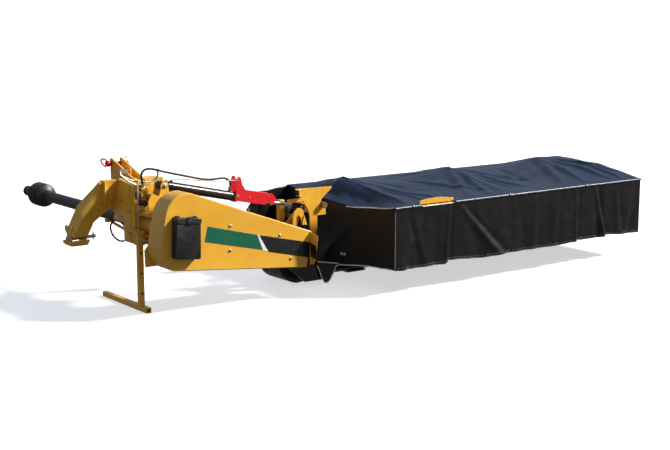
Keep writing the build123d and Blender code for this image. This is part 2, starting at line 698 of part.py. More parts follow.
def bar_section():
    """The gear bed's section in Y and Z: a rounded nose, a flat top and a tapered tail."""
    low_y, high_y = bar_y - bar_width / 2, bar_y + bar_width / 2
    return [(low_y, bar_low + 18), (low_y + 40, bar_low), (high_y - 60, bar_low), (high_y - 12, bar_low + 14),
            (high_y, bar_low + 30), (high_y - 14, bar_top - 6), (high_y - 50, bar_top), (low_y + 30, bar_top),
            (low_y, bar_top - 14)]


def disc_x(index):
    """Place of a disc along the bar."""
    return disc_first_x + index * disc_pitch


def cutterbar():
    """Gear bed with a bearing turret under each disc and a rock guard ahead of it."""
    body = prism_yz(bar_section(), bar_left, bar_right)
    nose = bar_y + bar_width / 2
    for index in range(disc_count):
        x = disc_x(index)
        body += Pos(x, bar_y, bar_top + turret_height / 2) * Cylinder(turret_radius, turret_height)
        guard = Polyline((x - 150, nose - 30), (x - 96, nose + 34), (x + 96, nose + 34), (x + 150, nose - 30), close=True)
        body += extrude(Pos(0, 0, bar_low + 26) * make_face(guard), amount=12)
    return body


def skid_shoes():
    """Wear shoes under the bar, one under each disc, turned up at the front."""
    low_y, high_y = bar_y - bar_width / 2, bar_y + bar_width / 2
    half = 80.0
    outline = [(low_y + 10, bar_low), (low_y + 10, bar_low - 10), (low_y + 45, 0), (high_y - 50, 0),
               (high_y + 25, 38), (high_y + 20, 44), (high_y + 4, bar_low + 16), (high_y - 60, bar_low)]
    shoes = []
    for index in range(disc_count):
        x = disc_x(index)
        shoes.append(prism_yz(outline, x - half, x + half) - prism_yz(bar_section(), x - half - 10, x + half + 10))
    return joined(shoes)


def inner_shoe():
    """Skid under the carrier, curved up towards the hinge."""
    heel, toe, top = (-330.0, 40.0), bar_left - 2, (-440.0, 130.0)
    lip = (-458.0, 122.0)
    edges = [
        Line(lip, top), Line(top, heel), Line(heel, (toe, 40.0)), Line((toe, 40.0), (toe, 22.0)),
        Line((toe, 22.0), (-290.0, 0.0)), ThreePointArc((-290.0, 0.0), (-388.0, 34.0), lip),
    ]
    return extrude_y(make_face(edges), bar_y - 150, bar_y + 150)


def outer_shoe():
    """Runner plate at the outboard end with its nose turned up."""
    low_y, high_y = bar_y - 190, bar_y + 190
    outline = [(low_y, 60), (low_y + 60, 0), (high_y - 80, 0), (high_y + 60, 120), (high_y + 60, 140),
               (high_y - 40, 150), (low_y + 60, 110)]
    return prism_yz(outline, bar_right, bar_right + 16)


def disc(index):
    """An oval disc with a domed cap, its bolts and two knives; neighbours stand a quarter turn apart."""
    z = bar_top + turret_height + disc_gap
    top = z + disc_plate
    body = extrude(Pos(0, 0, z) * Ellipse(disc_long, disc_short), amount=disc_plate)
    dome = [(0.0, top - 2), (84.0, top - 2), (82.0, top + 6), (56.0, top + 36), (34.0, top + 44), (0.0, top + 44)]
    plane = Plane(origin=(0, 0, 0), x_dir=(1, 0, 0), z_dir=(0, -1, 0))
    body += revolve(plane * make_face(Polyline(*dome, close=True)), axis=Axis.Z)
    knife_start, knife_end = disc_long - 40, knife_reach - 0.5
    for side in (-1, 1):
        low, high = min(side * knife_start, side * knife_end), max(side * knife_start, side * knife_end)
        body += block(low, high, -knife_width / 2, knife_width / 2, z - knife_thick, z)
        body += Pos(side * (knife_start + 16), 0, top + 4) * Cylinder(14, 10)
    turn = 90.0 if index % 2 else 0.0
    return Pos(disc_x(index), bar_y, 0) * Rot(0, 0, turn) * body


bow_table = [
    # x, height of the cloth over the shoulder line and over the ridge line there
    (0.0, 628.0, 660.0), (267.0, 738.0, 794.0), (845.0, 706.0, 752.0), (1423.0, 740.0, 795.0),
    (1974.0, 708.0, 755.0), (2525.0, 746.0, 802.0), (curtain_length, 762.0, 785.0),
]
bow_rows = (bow_table[1], bow_table[3], bow_table[5])


def curtain_section(shoulder, ridge, drop):
    """Four points of the top's surface from rear to front, lowered by a thickness."""
    return [(0.0, rear_top_z - drop), (shoulder_y, shoulder - drop), (ridge_y, ridge - drop),
            (curtain_depth, front_top_z - drop)]


def curtain_top():
    """The top sheet, peaked over each bow, sagging between them and drooping at the inboard end."""
    faces = []
    for x, shoulder, ridge in bow_table:
        points = curtain_section(shoulder, ridge, 0) + list(reversed(curtain_section(shoulder, ridge, cloth)))
        plane = Plane(origin=(x, 0, 0), x_dir=(0, 1, 0), z_dir=(1, 0, 0))
        faces.append(plane * make_face(Polyline(*points, close=True)))
    return loft(faces, ruled=True)


def end_outline(row, hem_points):
    """Outline of an end panel of the curtain, below the top sheet, from the hem's points and the section."""
    drop = panel_drop
    return hem_points + [(curtain_depth - drop, front_top_z - drop), (ridge_y, row[2] - drop),
                         (shoulder_y, row[1] - drop), (drop, rear_top_z - drop)]


def rail_places():
    """Centres of the rear and the front rail in Y and Z."""
    drop = cloth + rail_gap + rail_radius
    return (drop, rear_top_z - drop - 4), (curtain_depth - drop, front_top_z - drop - 8)


def curtain_rails():
    """The two long rails under the curtain's rear and front edges."""
    left, right = cloth + 8.0, curtain_length - cloth - 8.0
    return joined([round_x(y, z, rail_radius, left, right) for y, z in rail_places()])


def curtain_bows():
    """Peaked bows from rail to rail, each with a strut down to the spine."""
    drop = cloth + rail_gap + rail_radius + 6
    (rear_y, rear_z), (front_y, front_z) = rail_places()
    bows = []
    for x, shoulder, ridge in bow_rows:
        peak = ridge - drop
        bow = rod((x, rear_y, rear_z), (x, ridge_y, peak), bow_radius)
        bow += rod((x, ridge_y, peak), (x, front_y, front_z), bow_radius)
        bow += Pos(x, ridge_y, peak) * Sphere(bow_radius)
        height = rear_z + (peak - rear_z) * (spine_y - rear_y) / (ridge_y - rear_y)
        bow += rod((x, spine_y, spine_z + spine_half), (x, spine_y, height), bow_radius - 3)
        for y, z in rail_places():
            bow -= round_x(y, z, rail_radius, x - 40, x + 40)
        bows.append(bow)
    return joined(bows)


def curtain_spine():
    """Square tube along the middle of the curtain, with the post on the bar's outboard end."""
    low_y, high_y = spine_y - spine_half, spine_y + spine_half
    tube = block(spine_left, bar_right, low_y, high_y, spine_z - spine_half, spine_z + spine_half)
    return tube + block(bar_right - post_width, bar_right, low_y, high_y, bar_top, spine_z)


def inner_panel():
    """The curtain's inboard end, with the hole that the spine passes through."""
    inset = panel_drop
    hem = [(inset, hem_z), (bar_y - 67, inboard_hem_z), (curtain_depth - inset, inboard_hem_z - 30)]
    panel = prism_yz(end_outline(bow_table[0], hem), 0, cloth)
    reach = spine_half + 3
    return panel - block(-1, cloth + 1, spine_y - reach, spine_y + reach, spine_z - reach, spine_z + reach)


def outer_panel():
    """The curtain's outboard end."""
    inset = panel_drop
    hem = [(inset, hem_z), (curtain_depth - inset, front_hem_z)]
    return prism_yz(end_outline(bow_table[-1], hem), curtain_length - cloth, curtain_length)


def tube_on_route(points, diameter):
    """A round tube along straight runs joined by tangent arcs."""
    radii = []
    for before, at, after in zip(points, points[1:], points[2:]):
        a, b = Vector(*at) - Vector(*before), Vector(*after) - Vector(*at)
        turn = math.radians(a.get_angle(b))
        radii.append(0.45 * min(a.length, b.length) / math.tan(turn / 2))
    path = FilletPolyline(*points, radius=radii)
    start = Plane(origin=path @ 0, z_dir=path % 0)
    return sweep(start * Circle(diameter / 2), path=path)


# Black hose from the headstock's head over the cylinder to the port near its rod end
hose_route = [
    hose_start, (-1640.0, 868.0, 925.0), (-1668.0, 863.0, 966.0), (-1655.0, 856.0, 992.0),
    (-1590.0, 838.0, 991.0), (-1520.0, 815.0, 984.0), (-1430.0, 795.0, 970.0), (-1335.0, 775.0, 947.0),
    (-1240.0, 762.0, 920.0), (-1150.0, 755.0, 897.0), (-1070.0, 751.0, 884.0), (-1010.0, 750.0, 880.0),
    (-974.5, 750.0, 864.0), (-983.4, 750.0, 823.6),
]
# Cream rope from the cylinder's base to the horn of the transport lock
rope_route = [
    (-1540.0, 704.0, 933.0), (-1475.0, 705.0, 944.0), (-1390.0, 706.0, 936.0), (-1300.0, 708.0, 921.0),
    (-1205.0, 710.0, 908.0), (-1110.0, 711.0, 898.0), (-1015.0, 711.0, 894.0), (-944.0, 711.0, 893.0),
]

keep("headstock_column", headstock())
for name, side in (("left", -1), ("right", 1)):
    keep("lower_arm_" + name, lower_arm(side))
    keep("lower_pin_" + name, lower_pin(side))
keep("top_link_mast", mast())
keep("top_link_pin", top_pin())
keep("input_housing", input_housing())
keep("driveline_cover", driveline_cover())
keep("driveline_guard", driveline_guard())
keep("driveline_shaft", driveline_shaft())
keep("driveline_rest", shaft_rest())
keep("stand_leg", stand_leg())
keep("stand_sleeve", stand_sleeve())
keep("stand_pin", stand_pin())
keep("main_beam", main_beam())
keep("belt_shield", belt_shield())
keep("document_box", document_box())
keep("lift_base", lift_base())
keep("cylinder_barrel", cylinder_barrel())
keep("transport_lock", transport_lock())
keep("cylinder_rod", cylinder_rod())
keep("rod_fork", rod_fork())
keep("cutterbar_carrier", carrier())
keep("lift_lever", lift_lever())
keep("cutterbar", cutterbar())
keep("skid_shoes", skid_shoes())
keep("inner_shoe", inner_shoe())
keep("outer_shoe", outer_shoe())
for index in range(disc_count):
    keep("disc_" + str(index + 1), disc(index))
keep("curtain_rails", curtain_rails())
keep("curtain_bows", curtain_bows())
keep("curtain_spine", curtain_spine())
keep("curtain_top", curtain_top())
keep("curtain_rear", block(0, curtain_length, 0, cloth, hem_z, rear_top_z - panel_drop))
keep("curtain_front", block(0, curtain_length, curtain_depth - cloth, curtain_depth, front_hem_z, front_top_z - panel_drop))
keep("curtain_outer", outer_panel())
keep("curtain_inner", inner_panel())
keep("hydraulic_hose", tube_on_route(hose_route, hose_diameter))
keep("lock_rope", tube_on_route(rope_route, rope_diameter))

os.makedirs("parts", exist_ok=True)
for name, shape in nodes.items():
    export_step(shape, "parts/" + name + ".step")
print(len(nodes), "nodes")
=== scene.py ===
import json
import math

import bmesh
import bpy
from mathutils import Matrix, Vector, noise


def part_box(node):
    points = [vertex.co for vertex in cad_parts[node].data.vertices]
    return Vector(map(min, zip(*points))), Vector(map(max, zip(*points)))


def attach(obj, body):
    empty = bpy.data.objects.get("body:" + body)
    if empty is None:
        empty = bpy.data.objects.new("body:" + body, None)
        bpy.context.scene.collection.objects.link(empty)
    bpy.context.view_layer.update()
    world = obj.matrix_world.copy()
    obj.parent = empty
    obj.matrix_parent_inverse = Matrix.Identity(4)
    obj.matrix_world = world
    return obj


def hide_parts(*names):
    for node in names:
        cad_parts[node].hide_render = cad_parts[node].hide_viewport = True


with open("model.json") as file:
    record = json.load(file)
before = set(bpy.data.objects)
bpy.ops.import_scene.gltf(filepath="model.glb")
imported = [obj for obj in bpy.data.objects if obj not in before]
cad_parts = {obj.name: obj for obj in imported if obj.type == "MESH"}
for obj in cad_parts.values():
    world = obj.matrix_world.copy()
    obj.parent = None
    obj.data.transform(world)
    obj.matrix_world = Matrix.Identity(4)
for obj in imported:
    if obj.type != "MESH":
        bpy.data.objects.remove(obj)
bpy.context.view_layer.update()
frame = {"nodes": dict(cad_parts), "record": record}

# Places below are in millimetres from the curtain's inboard rear corner on the ground:
# X right along the cutterbar, Y forward, Z up.
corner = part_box("curtain_rear")[0]
MM = 0.001


def at(x, y, z):
    """A place given from the curtain's corner, in the frame's metres."""
    return Vector((corner.x + x * MM, corner.y + y * MM, z * MM))


def turn(count, start=0):
    """Angles that go once round."""
    return [start + k * math.tau / count for k in range(count)]


def new_object(name, data):
    piece = bpy.data.objects.new(name, data)
    bpy.context.scene.collection.objects.link(piece)
    return piece


# The camera stands where the photograph was taken from
CAMERA_PLACE = (-5719.9, -6893.3, 2092.5)
LENS_MM, SENSOR_MM = 65.3, 36
CAMERA_TURN = -36.8
CAMERA_DROP = 9.75


def make_camera():
    data = bpy.data.cameras.new("camera")
    data.lens = LENS_MM
    data.sensor_width = SENSOR_MM
    data.clip_end = 200
    camera = new_object("camera", data)
    camera.location = at(*CAMERA_PLACE)
    camera.rotation_euler = (math.radians(90 - CAMERA_DROP), 0, math.radians(CAMERA_TURN))
    bpy.context.scene.camera = camera


make_camera()


# ---- materials ----

SHADER_INPUTS = {"rough": "Roughness", "metal": "Metallic", "normal": "Normal", "coat": "Coat Weight",
                 "coat_rough": "Coat Roughness", "specular": "Specular IOR Level"}


class Nodes:
    """Short helper that builds the node tree of a material, or of the world."""

    def __init__(self, name, world=None):
        self.owner = world or bpy.data.materials.new(name)
        self.owner.use_nodes = True
        self.tree = self.owner.node_tree
        self.shader = self.tree.nodes["Background" if world else "Principled BSDF"]
        self.place = self.tree.nodes.new("ShaderNodeTexCoord").outputs["Generated" if world else "Object"]

    def add(self, kind, inputs=None, **settings):
        node = self.tree.nodes.new("ShaderNode" + kind)
        for key, value in settings.items():
            setattr(node, key, value)
        for key, value in (inputs or {}).items():
            self.put(node.inputs[key], value)
        return node

    def put(self, socket, value):
        if isinstance(value, bpy.types.NodeSocket):
            self.tree.links.new(value, socket)
        else:
            socket.default_value = value

    def tint(self, socket, colour):
        """Puts a colour, three numbers or a node's output, into a socket."""
        self.put(socket, colour if isinstance(colour, bpy.types.NodeSocket) else (*colour, 1))

    def noise(self, scale, detail=4, rough=0.55, stretch=(1, 1, 1)):
        mapped = self.add("Mapping", {"Vector": self.place, "Scale": stretch})
        node = self.add("TexNoise", {"Vector": mapped.outputs["Vector"], "Scale": scale,
                                     "Detail": detail, "Roughness": rough})
        return node.outputs["Fac"]

    def grey(self, value, low, high, low_out, high_out):
        """Maps a value from one range to another."""
        return self.add("MapRange", {"Value": value, "From Min": low, "From Max": high,
                                     "To Min": low_out, "To Max": high_out}).outputs["Result"]

    def plus(self, a, b):
        return self.add("Math", {0: a, 1: b}, operation="ADD").outputs["Value"]

    def times(self, a, b):
        return self.add("Math", {0: a, 1: b}, operation="MULTIPLY").outputs["Value"]

    def mix(self, share, a, b):
        node = self.add("Mix", data_type="RGBA")
        self.put(node.inputs["Factor"], share)
        self.tint(node.inputs[6], a)
        self.tint(node.inputs[7], b)
        return node.outputs[2]

    def bump(self, height, strength, distance, normal=None):
        inputs = {"Height": height, "Strength": strength, "Distance": distance}
        if normal is not None:
            inputs["Normal"] = normal
        return self.add("Bump", inputs).outputs["Normal"]

    def soft_normal(self, radius):
        """The normal of a face whose edges are rounded."""
        return self.add("Bevel", {"Radius": radius}, samples=4).outputs["Normal"]

    def edges(self, radius, low, high):
        """1 on edges and 0 on flats, from how far a rounded normal leans from the face's own."""
        soft = self.soft_normal(radius)
        plain = self.add("NewGeometry").outputs["Normal"]
        lean = self.add("VectorMath", {0: soft, 1: plain}, operation="DOT_PRODUCT")
        return self.grey(lean.outputs["Value"], high, low, 0, 1)

    def facing_up(self):
        """How far a face looks up, from -1 to 1."""
        normal = self.add("NewGeometry").outputs["Normal"]
        return self.add("SeparateXYZ", {"Vector": normal}).outputs["Z"]

    def finish(self, colour, **values):
        self.tint(self.shader.inputs["Base Color"], colour)
        for key, value in values.items():
            self.put(self.shader.inputs[SHADER_INPUTS[key]], value)
        return self.owner


YELLOW = (0.86, 0.47, 0.045)
YELLOW_DEEP = (0.74, 0.37, 0.03)
YELLOW_DUST = (0.66, 0.47, 0.2)
YELLOW_RUBBED = (0.95, 0.7, 0.25)
CHIPPED = (0.13, 0.055, 0.02)
# Brown painted shade for the low faces of the carrier
PAINTED_SHADE_BROWN = (0.16, 0.075, 0.012)
SOOT = (0.01, 0.009, 0.008)


def yellow_paint(name="yellow_paint", black_and_shade_heights=None):
    """Gloss enamel: tone clouds, dust on upward faces and in patches, rubbed edges, small chips.
    An optional pair of heights in metres gives black below the first and, up to the second, a brown painted shade
    that darkens the yellow where the low faces lie in shade."""
    n = Nodes(name)
    base = n.mix(n.grey(n.noise(2.5, 6), 0.35, 0.65, 0, 1), YELLOW, YELLOW_DEEP)
    patches = n.grey(n.noise(6, 8, 0.7), 0.5, 0.8, 0, 0.16)
    upward = n.grey(n.facing_up(), 0.3, 1, 0, 0.22)
    dust = n.times(n.plus(patches, upward), n.grey(n.noise(55, 3), 0.2, 0.8, 0.5, 1.1))
    colour = n.mix(dust, base, YELLOW_DUST)
    rub = n.times(n.edges(0.006, 0.8, 0.985), n.grey(n.noise(38, 5, 0.7), 0.42, 0.62, 0, 0.75))
    colour = n.mix(rub, colour, YELLOW_RUBBED)
    wear = n.times(n.edges(0.004, 0.72, 0.93), n.grey(n.noise(60, 4, 0.7), 0.56, 0.62, 0, 1))
    chips = n.plus(wear, n.grey(n.noise(85, 2), 0.8, 0.82, 0, 1))
    colour = n.mix(chips, colour, CHIPPED)
    if black_and_shade_heights is not None:
        low, high = black_and_shade_heights
        height = n.add("SeparateXYZ", {"Vector": n.place}).outputs["Z"]
        height = n.plus(height, n.grey(n.noise(14, 5), 0.3, 0.7, -0.012, 0.012))
        # Painted shade: brown up to the second height darkens the yellow of the low faces
        colour = n.mix(n.grey(height, high - 0.05, high + 0.05, 1, 0), colour, PAINTED_SHADE_BROWN)
        colour = n.mix(n.grey(height, low - 0.006, low + 0.006, 1, 0), colour, SOOT)
    rough = n.plus(n.grey(n.noise(30, 3), 0.3, 0.7, 0.24, 0.38), n.times(dust, 0.5))
    soft = n.soft_normal(0.003)
    peel = n.bump(n.noise(420, 2), 0.07, 0.0004, soft)
    return n.finish(colour, rough=rough, normal=peel, coat=0.3, coat_rough=0.14)


def painted(name, colour, dusty, rough, coat=0, dust=0.3, worn=None):
    """Enamel of one colour with dust, a light grain and, where asked, worn edges."""
    n = Nodes(name)
    share = n.plus(n.grey(n.noise(9, 7, 0.7), 0.5, 0.8, 0, dust),
                   n.grey(n.facing_up(), 0.5, 1, 0, dust * 0.4))
    tint = n.mix(share, colour, dusty)
    if worn is not None:
        rub = n.times(n.edges(0.005, 0.78, 0.97), n.grey(n.noise(44, 5, 0.7), 0.48, 0.6, 0, 0.8))
        tint = n.mix(rub, tint, worn)
    soft = n.soft_normal(0.0025)
    peel = n.bump(n.noise(380, 2), 0.1, 0.0004, soft)
    return n.finish(tint, rough=n.grey(n.noise(30), 0.3, 0.7, *rough), normal=peel, coat=coat,
                    coat_rough=0.1)


def moulded_plastic(name, colour, rough, dusty=(0.12, 0.11, 0.1)):
    """Moulded plastic with a fine leather-like grain and dust in it."""
    n = Nodes(name)
    grain = n.add("TexVoronoi", {"Vector": n.place, "Scale": 620}).outputs["Distance"]
    share = n.plus(n.grey(n.noise(6, 8, 0.7), 0.5, 0.85, 0, 0.3),
                   n.grey(n.facing_up(), 0.4, 1, 0, 0.15))
    soft = n.soft_normal(0.002)
    return n.finish(n.mix(share, colour, dusty), rough=n.grey(n.noise(24), 0.3, 0.7, *rough),
                    normal=n.bump(grain, 0.22, 0.0005, soft))


def metal(name, colour, dark, rough=(0.22, 0.4), stain=0.35):
    """Bare or plated steel with stains."""
    n = Nodes(name)
    share = n.grey(n.noise(26, 6, 0.65), 0.45, 0.75, 0, stain)
    return n.finish(n.mix(share, colour, dark), rough=n.grey(n.noise(60), 0.3, 0.7, *rough), metal=1,
                    normal=n.bump(n.noise(300, 2), 0.06, 0.0004))


def coated_cloth(name, colour, dusty, rough, shine):
    """Coated cloth: a fine weave under the coating, creases, a shine and pale dust."""
    n = Nodes(name)
    weave_u, weave_v = [n.add("TexWave", {"Vector": n.place, "Scale": 260}, bands_direction=way)
                        for way in "XZ"]
    height = n.bump(n.times(weave_u.outputs["Fac"], weave_v.outputs["Fac"]), 0.04, 0.0003)
    height = n.bump(n.noise(4.5, 4, 0.55, (1, 1, 0.5)), 0.14, 0.02, height)
    height = n.bump(n.noise(26, 4, 0.6), 0.05, 0.004, height)
    dust = n.times(n.grey(n.noise(3.5, 8, 0.72), 0.46, 0.82, 0, 0.28),
                   n.grey(n.noise(90, 3), 0.2, 0.8, 0.5, 1.1))
    return n.finish(n.mix(dust, colour, dusty), rough=n.grey(n.noise(12, 5), 0.3, 0.7, *rough),
                    normal=height, specular=shine)


def laid_rope(name, colour, dark):
    """Rope with slanting strands."""
    n = Nodes(name)
    wave = n.add("TexWave", {"Vector": n.place, "Scale": 70, "Distortion": 0.6},
                 bands_direction="DIAGONAL")
    groove = wave.outputs["Fac"]
    stain = n.grey(n.noise(30, 4), 0.4, 0.8, 0, 0.5)
    return n.finish(n.mix(stain, n.mix(groove, dark, colour), dark), rough=0.85,
                    normal=n.bump(groove, 0.6, 0.002))


YELLOW_PAINT = yellow_paint()
# Copies of one near-black coated cloth: the top's navy is a painted reflection of the blue sky, and the inboard
# panel's copy is a duller one for its shade
CLOTH_TOP_PAINTED_SKY = coated_cloth("curtain_cloth_top_painted_sky", (0.004, 0.015, 0.042), (0.024, 0.045, 0.085),
                         (0.3, 0.42), 0.4)
CLOTH_SIDE = coated_cloth("curtain_cloth_side", (0.006, 0.0055, 0.005), (0.03, 0.027, 0.023),
                          (0.28, 0.38), 0.5)
CLOTH_SHADE = coated_cloth("curtain_cloth_shade", (0.01, 0.011, 0.012), (0.04, 0.04, 0.04),
                           (0.46, 0.56), 0.22)
MATERIALS = {
    "yellow_paint": YELLOW_PAINT,
    "black_paint": painted("black_paint", (0.012, 0.012, 0.013), (0.07, 0.06, 0.05), (0.22, 0.4),
                           worn=(0.1, 0.085, 0.07)),
    "red_paint": painted("red_paint", (0.62, 0.01, 0.022), (0.4, 0.08, 0.05), (0.25, 0.4), 0.3, 0.25,
                         worn=(0.22, 0.05, 0.03)),
    "bare_steel": metal("bare_steel", (0.62, 0.6, 0.55), (0.25, 0.22, 0.18)),
    "chrome": metal("chrome", (0.86, 0.87, 0.9), (0.5, 0.5, 0.52), (0.05, 0.14), 0.1),
    "black_plastic": moulded_plastic("black_plastic", (0.012, 0.013, 0.015), (0.38, 0.55)),
    "curtain_vinyl": CLOTH_SIDE,
    "disc_steel": metal("disc_steel", (0.25, 0.24, 0.22), (0.1, 0.07, 0.05), (0.35, 0.6), 0.6),
    "rope": laid_rope("rope", (0.72, 0.68, 0.55), (0.34, 0.3, 0.22)),
}
GREEN_FILM = painted("green_film", (0.006, 0.115, 0.06), (0.1, 0.18, 0.13), (0.3, 0.42), 0.2, 0.2)
BLACK_FILM = painted("black_film", (0.01, 0.011, 0.012), (0.08, 0.075, 0.06), (0.28, 0.4), 0.2, 0.25)
WHITE_FILM = painted("white_film", (0.8, 0.8, 0.77), (0.55, 0.52, 0.45), (0.35, 0.5), 0.1)
RED_GRIP = moulded_plastic("red_grip", (0.6, 0.015, 0.02), (0.3, 0.45), (0.4, 0.12, 0.08))
PALE_EDGE = moulded_plastic("pale_edge", (0.84, 0.84, 0.82), (0.4, 0.55), (0.5, 0.48, 0.42))
RIB_PLASTIC = moulded_plastic("rib_plastic", (0.02, 0.02, 0.022), (0.26, 0.38))
THREAD = moulded_plastic("thread", (0.66, 0.65, 0.6), (0.6, 0.8), (0.4, 0.38, 0.3))
# A dark brown that stands in for the shade on the carrier's tube end
PAINTED_TUBE_SHADE = painted("painted_tube_shade", (0.16, 0.075, 0.035), (0.24, 0.16, 0.09), (0.6, 0.8), dust=0.6)
RUBBER = moulded_plastic("rubber", (0.01, 0.01, 0.011), (0.42, 0.6))
ZINC = metal("zinc", (0.5, 0.48, 0.42), (0.3, 0.25, 0.16), (0.34, 0.5), 0.4)
DARK_IRON = painted("dark_iron", (0.022, 0.02, 0.019), (0.09, 0.07, 0.05), (0.4, 0.6), dust=0.4,
                    worn=(0.14, 0.11, 0.08))
# Yellow that turns black below 0.262 m, with a brown painted shade up to 0.5 m
YELLOW_WITH_PAINTED_SHADE = yellow_paint("yellow_with_painted_shade", (0.262, 0.5))

# A slot and the material that fills it, for the pieces below
PLATED = ("bare_steel", ZINC)
ENAMELLED = ("yellow_paint", YELLOW_PAINT)
BLACKED = ("black_paint", MATERIALS["black_paint"])
RUBBERED = ("black_plastic", RUBBER)
ROPED = ("rope", MATERIALS["rope"])
PALE = ("curtain_vinyl", PALE_EDGE)

slot_of = {row["node"]: row["material_slot"] for row in frame["record"]["subparts"]}
SPECIAL = {"cutterbar_carrier": YELLOW_WITH_PAINTED_SHADE, "lift_lever": YELLOW_WITH_PAINTED_SHADE, "driveline_shaft": DARK_IRON}
for name, node in frame["nodes"].items():
    node.data.materials.clear()
    node.data.materials.append(SPECIAL.get(name, MATERIALS[slot_of[name]]))


# ---- tools that make pieces ----


def settle(piece, look, body):
    """Gives a new piece its material and body."""
    slot, material = look
    piece.data.materials.clear()
    piece.data.materials.append(material)
    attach(piece, body)
    return piece


def mesh_piece(name, points, faces, look, body):
    """A piece from places in millimetres and faces."""
    data = bpy.data.meshes.new(name)
    data.from_pydata([at(*p) for p in points], [], faces)
    data.update()
    data.shade_smooth()
    return settle(new_object(name, data), look, body)


def curve_points(points, steps):
    """Close points on a smooth line through the given ones."""
    p = [Vector(q) for q in points]
    p = [p[0] * 2 - p[1]] + p + [p[-1] * 2 - p[-2]]
    out = []
    for i in range(1, len(p) - 2):
        for k in range(steps):
            t = k / steps
            out.append(0.5 * ((2 * p[i]) + (p[i + 1] - p[i - 1]) * t
                              + (2 * p[i - 1] - 5 * p[i] + 4 * p[i + 1] - p[i + 2]) * t * t
                              + (3 * p[i] - p[i - 1] - 3 * p[i + 1] + p[i + 2]) * t ** 3))
    out.append(p[-2])
    return out


def circle(centre, u, v, radius, angles):
    """Points round a centre in the plane of u and v."""
    return [centre + u * (radius * math.cos(t)) + v * (radius * math.sin(t)) for t in angles]


HITCH = "hitch_frame"
SHARP_DEGREES = 38
WELD_STEP = 3
# Profiles of a bolt of size 1: along, radius
WASHER = [(0, 1.05), (0.16, 1.05), (0.22, 0.98)]
HEAD = [(0, 0.8), (0.48, 0.8), (0.62, 0.66)]
SHANK_END = [(0.6, 0.42), (0.78, 0.4), (0.84, 0.32)]


class Forge:
    """Collects small solid forms into one mesh."""

    def __init__(self):
        self.points, self.faces = [], []

    def ring_stack(self, rings, caps=True):
        """Skins rings of equal length one after the other."""
        start = len(self.points)
        count = len(rings[0])
        faces = []
        for r in range(len(rings) - 1):
            for i in range(count):
                j = (i + 1) % count
                faces.append([r * count + i, r * count + j, (r + 1) * count + j, (r + 1) * count + i])
        if caps:
            last = (len(rings) - 1) * count
            faces += [list(reversed(range(count))), [last + i for i in range(count)]]
        self.points += [tuple(p) for ring in rings for p in ring]
        self.faces += [[start + i for i in face] for face in faces]

    def turned(self, start, way, profile, sides=20, phase=0, size=1):
        """A turned form from a place along a way; profile lists (along, radius), in millimetres at size 1."""
        start, way = Vector(start), Vector(way).normalized()
        u = way.orthogonal().normalized()
        v = way.cross(u)
        self.ring_stack([circle(start + way * (along * size), u, v, radius * size, turn(sides, phase))
                         for along, radius in profile])

    def bolt(self, place, way, size, washer=True):
        """Hex head with a chamfer and the shank's end, standing on a face or on a washer."""
        place, way = Vector(place), Vector(way)
        if washer:
            self.turned(place, way, WASHER, size=size)
            place = place + way * size * WASHER[-1][0]
        self.turned(place, way, HEAD, 6, 0.3, size)
        self.turned(place, way, SHANK_END, 12, size=size)

    def pipe(self, route, radius, sides=12, closed=False):
        """A bent tube along close points; radius is a number or a function of the share of the way."""
        points = [Vector(p) for p in route]
        count = len(points)
        rings, u = [], None
        for i, p in enumerate(points):
            before = points[i - 1] if (i or closed) else p
            after = points[(i + 1) % count] if (i < count - 1 or closed) else p
            way = (after - before).normalized()
            u = way.orthogonal().normalized() if u is None else (u - way * u.dot(way)).normalized()
            r = radius(i / (count - 1)) if callable(radius) else radius
            rings.append(circle(p, u, way.cross(u), r, turn(sides)))
        if closed:
            rings.append(rings[0])
        self.ring_stack(rings, not closed)

    def bent(self, points, steps, radius, sides=12):
        """A bent tube on a smooth line through a few points."""
        self.pipe(curve_points(points, steps), radius, sides)

    def hoop(self, centre, radius, wire, count, sway=0, waves=1):
        """A closed ring of wire that faces X and may sway out of its plane."""
        x, y, z = centre
        self.pipe([(x + sway * math.sin(waves * t), y + radius * math.cos(t), z + radius * math.sin(t))
                   for t in turn(count)], wire, 8, closed=True)

    def weld(self, start, end, size):
        """A rippled weld bead along a straight line."""
        a, b = Vector(start), Vector(end)
        count = int((b - a).length / WELD_STEP)
        route = [a + (b - a) * (k / count) for k in range(count)] + [b]
        self.pipe(route, lambda t: size * (1 + 0.14 * math.sin(t * len(route) * 1.55)), 8)

    def slab(self, low, high, bevel=1.5):
        """A block with its edges broken."""
        (x0, y0, z0), (x1, y1, z1) = low, high
        b = bevel

        def ring(z, inset):
            xa, xb, ya, yb = x0 + inset, x1 - inset, y0 + inset, y1 - inset
            return [(xa + b, ya, z), (xb - b, ya, z), (xb, ya + b, z), (xb, yb - b, z),
                    (xb - b, yb, z), (xa + b, yb, z), (xa, yb - b, z), (xa, ya + b, z)]

        self.ring_stack([ring(z0, b), ring(z0 + b, 0), ring(z1 - b, 0), ring(z1, b)])

    def plate(self, outline, way, thick):
        """A flat outline pushed along a direction."""
        push = Vector(way).normalized() * thick
        near = [Vector(p) for p in outline]
        self.ring_stack([near, [p + push for p in near]])

    def finish(self, name, look, body=HITCH, smooth=False):
        piece = mesh_piece(name, self.points, self.faces, look, body)
        fix = bmesh.new()
        fix.from_mesh(piece.data)
        bmesh.ops.recalc_face_normals(fix, faces=fix.faces)
        fix.to_mesh(piece.data)
        fix.free()
        if not smooth:
            piece.data.set_sharp_from_angle(angle=math.radians(SHARP_DEGREES))
        return piece


LEFTWARD, RIGHTWARD, REARWARD, UPWARD = (-1, 0, 0), (1, 0, 0), (0, -1, 0), (0, 0, 1)


def upright(y, outline):
    """An outline of (x, z) in the upright plane at y."""
    return [(x, y, z) for x, z in outline]


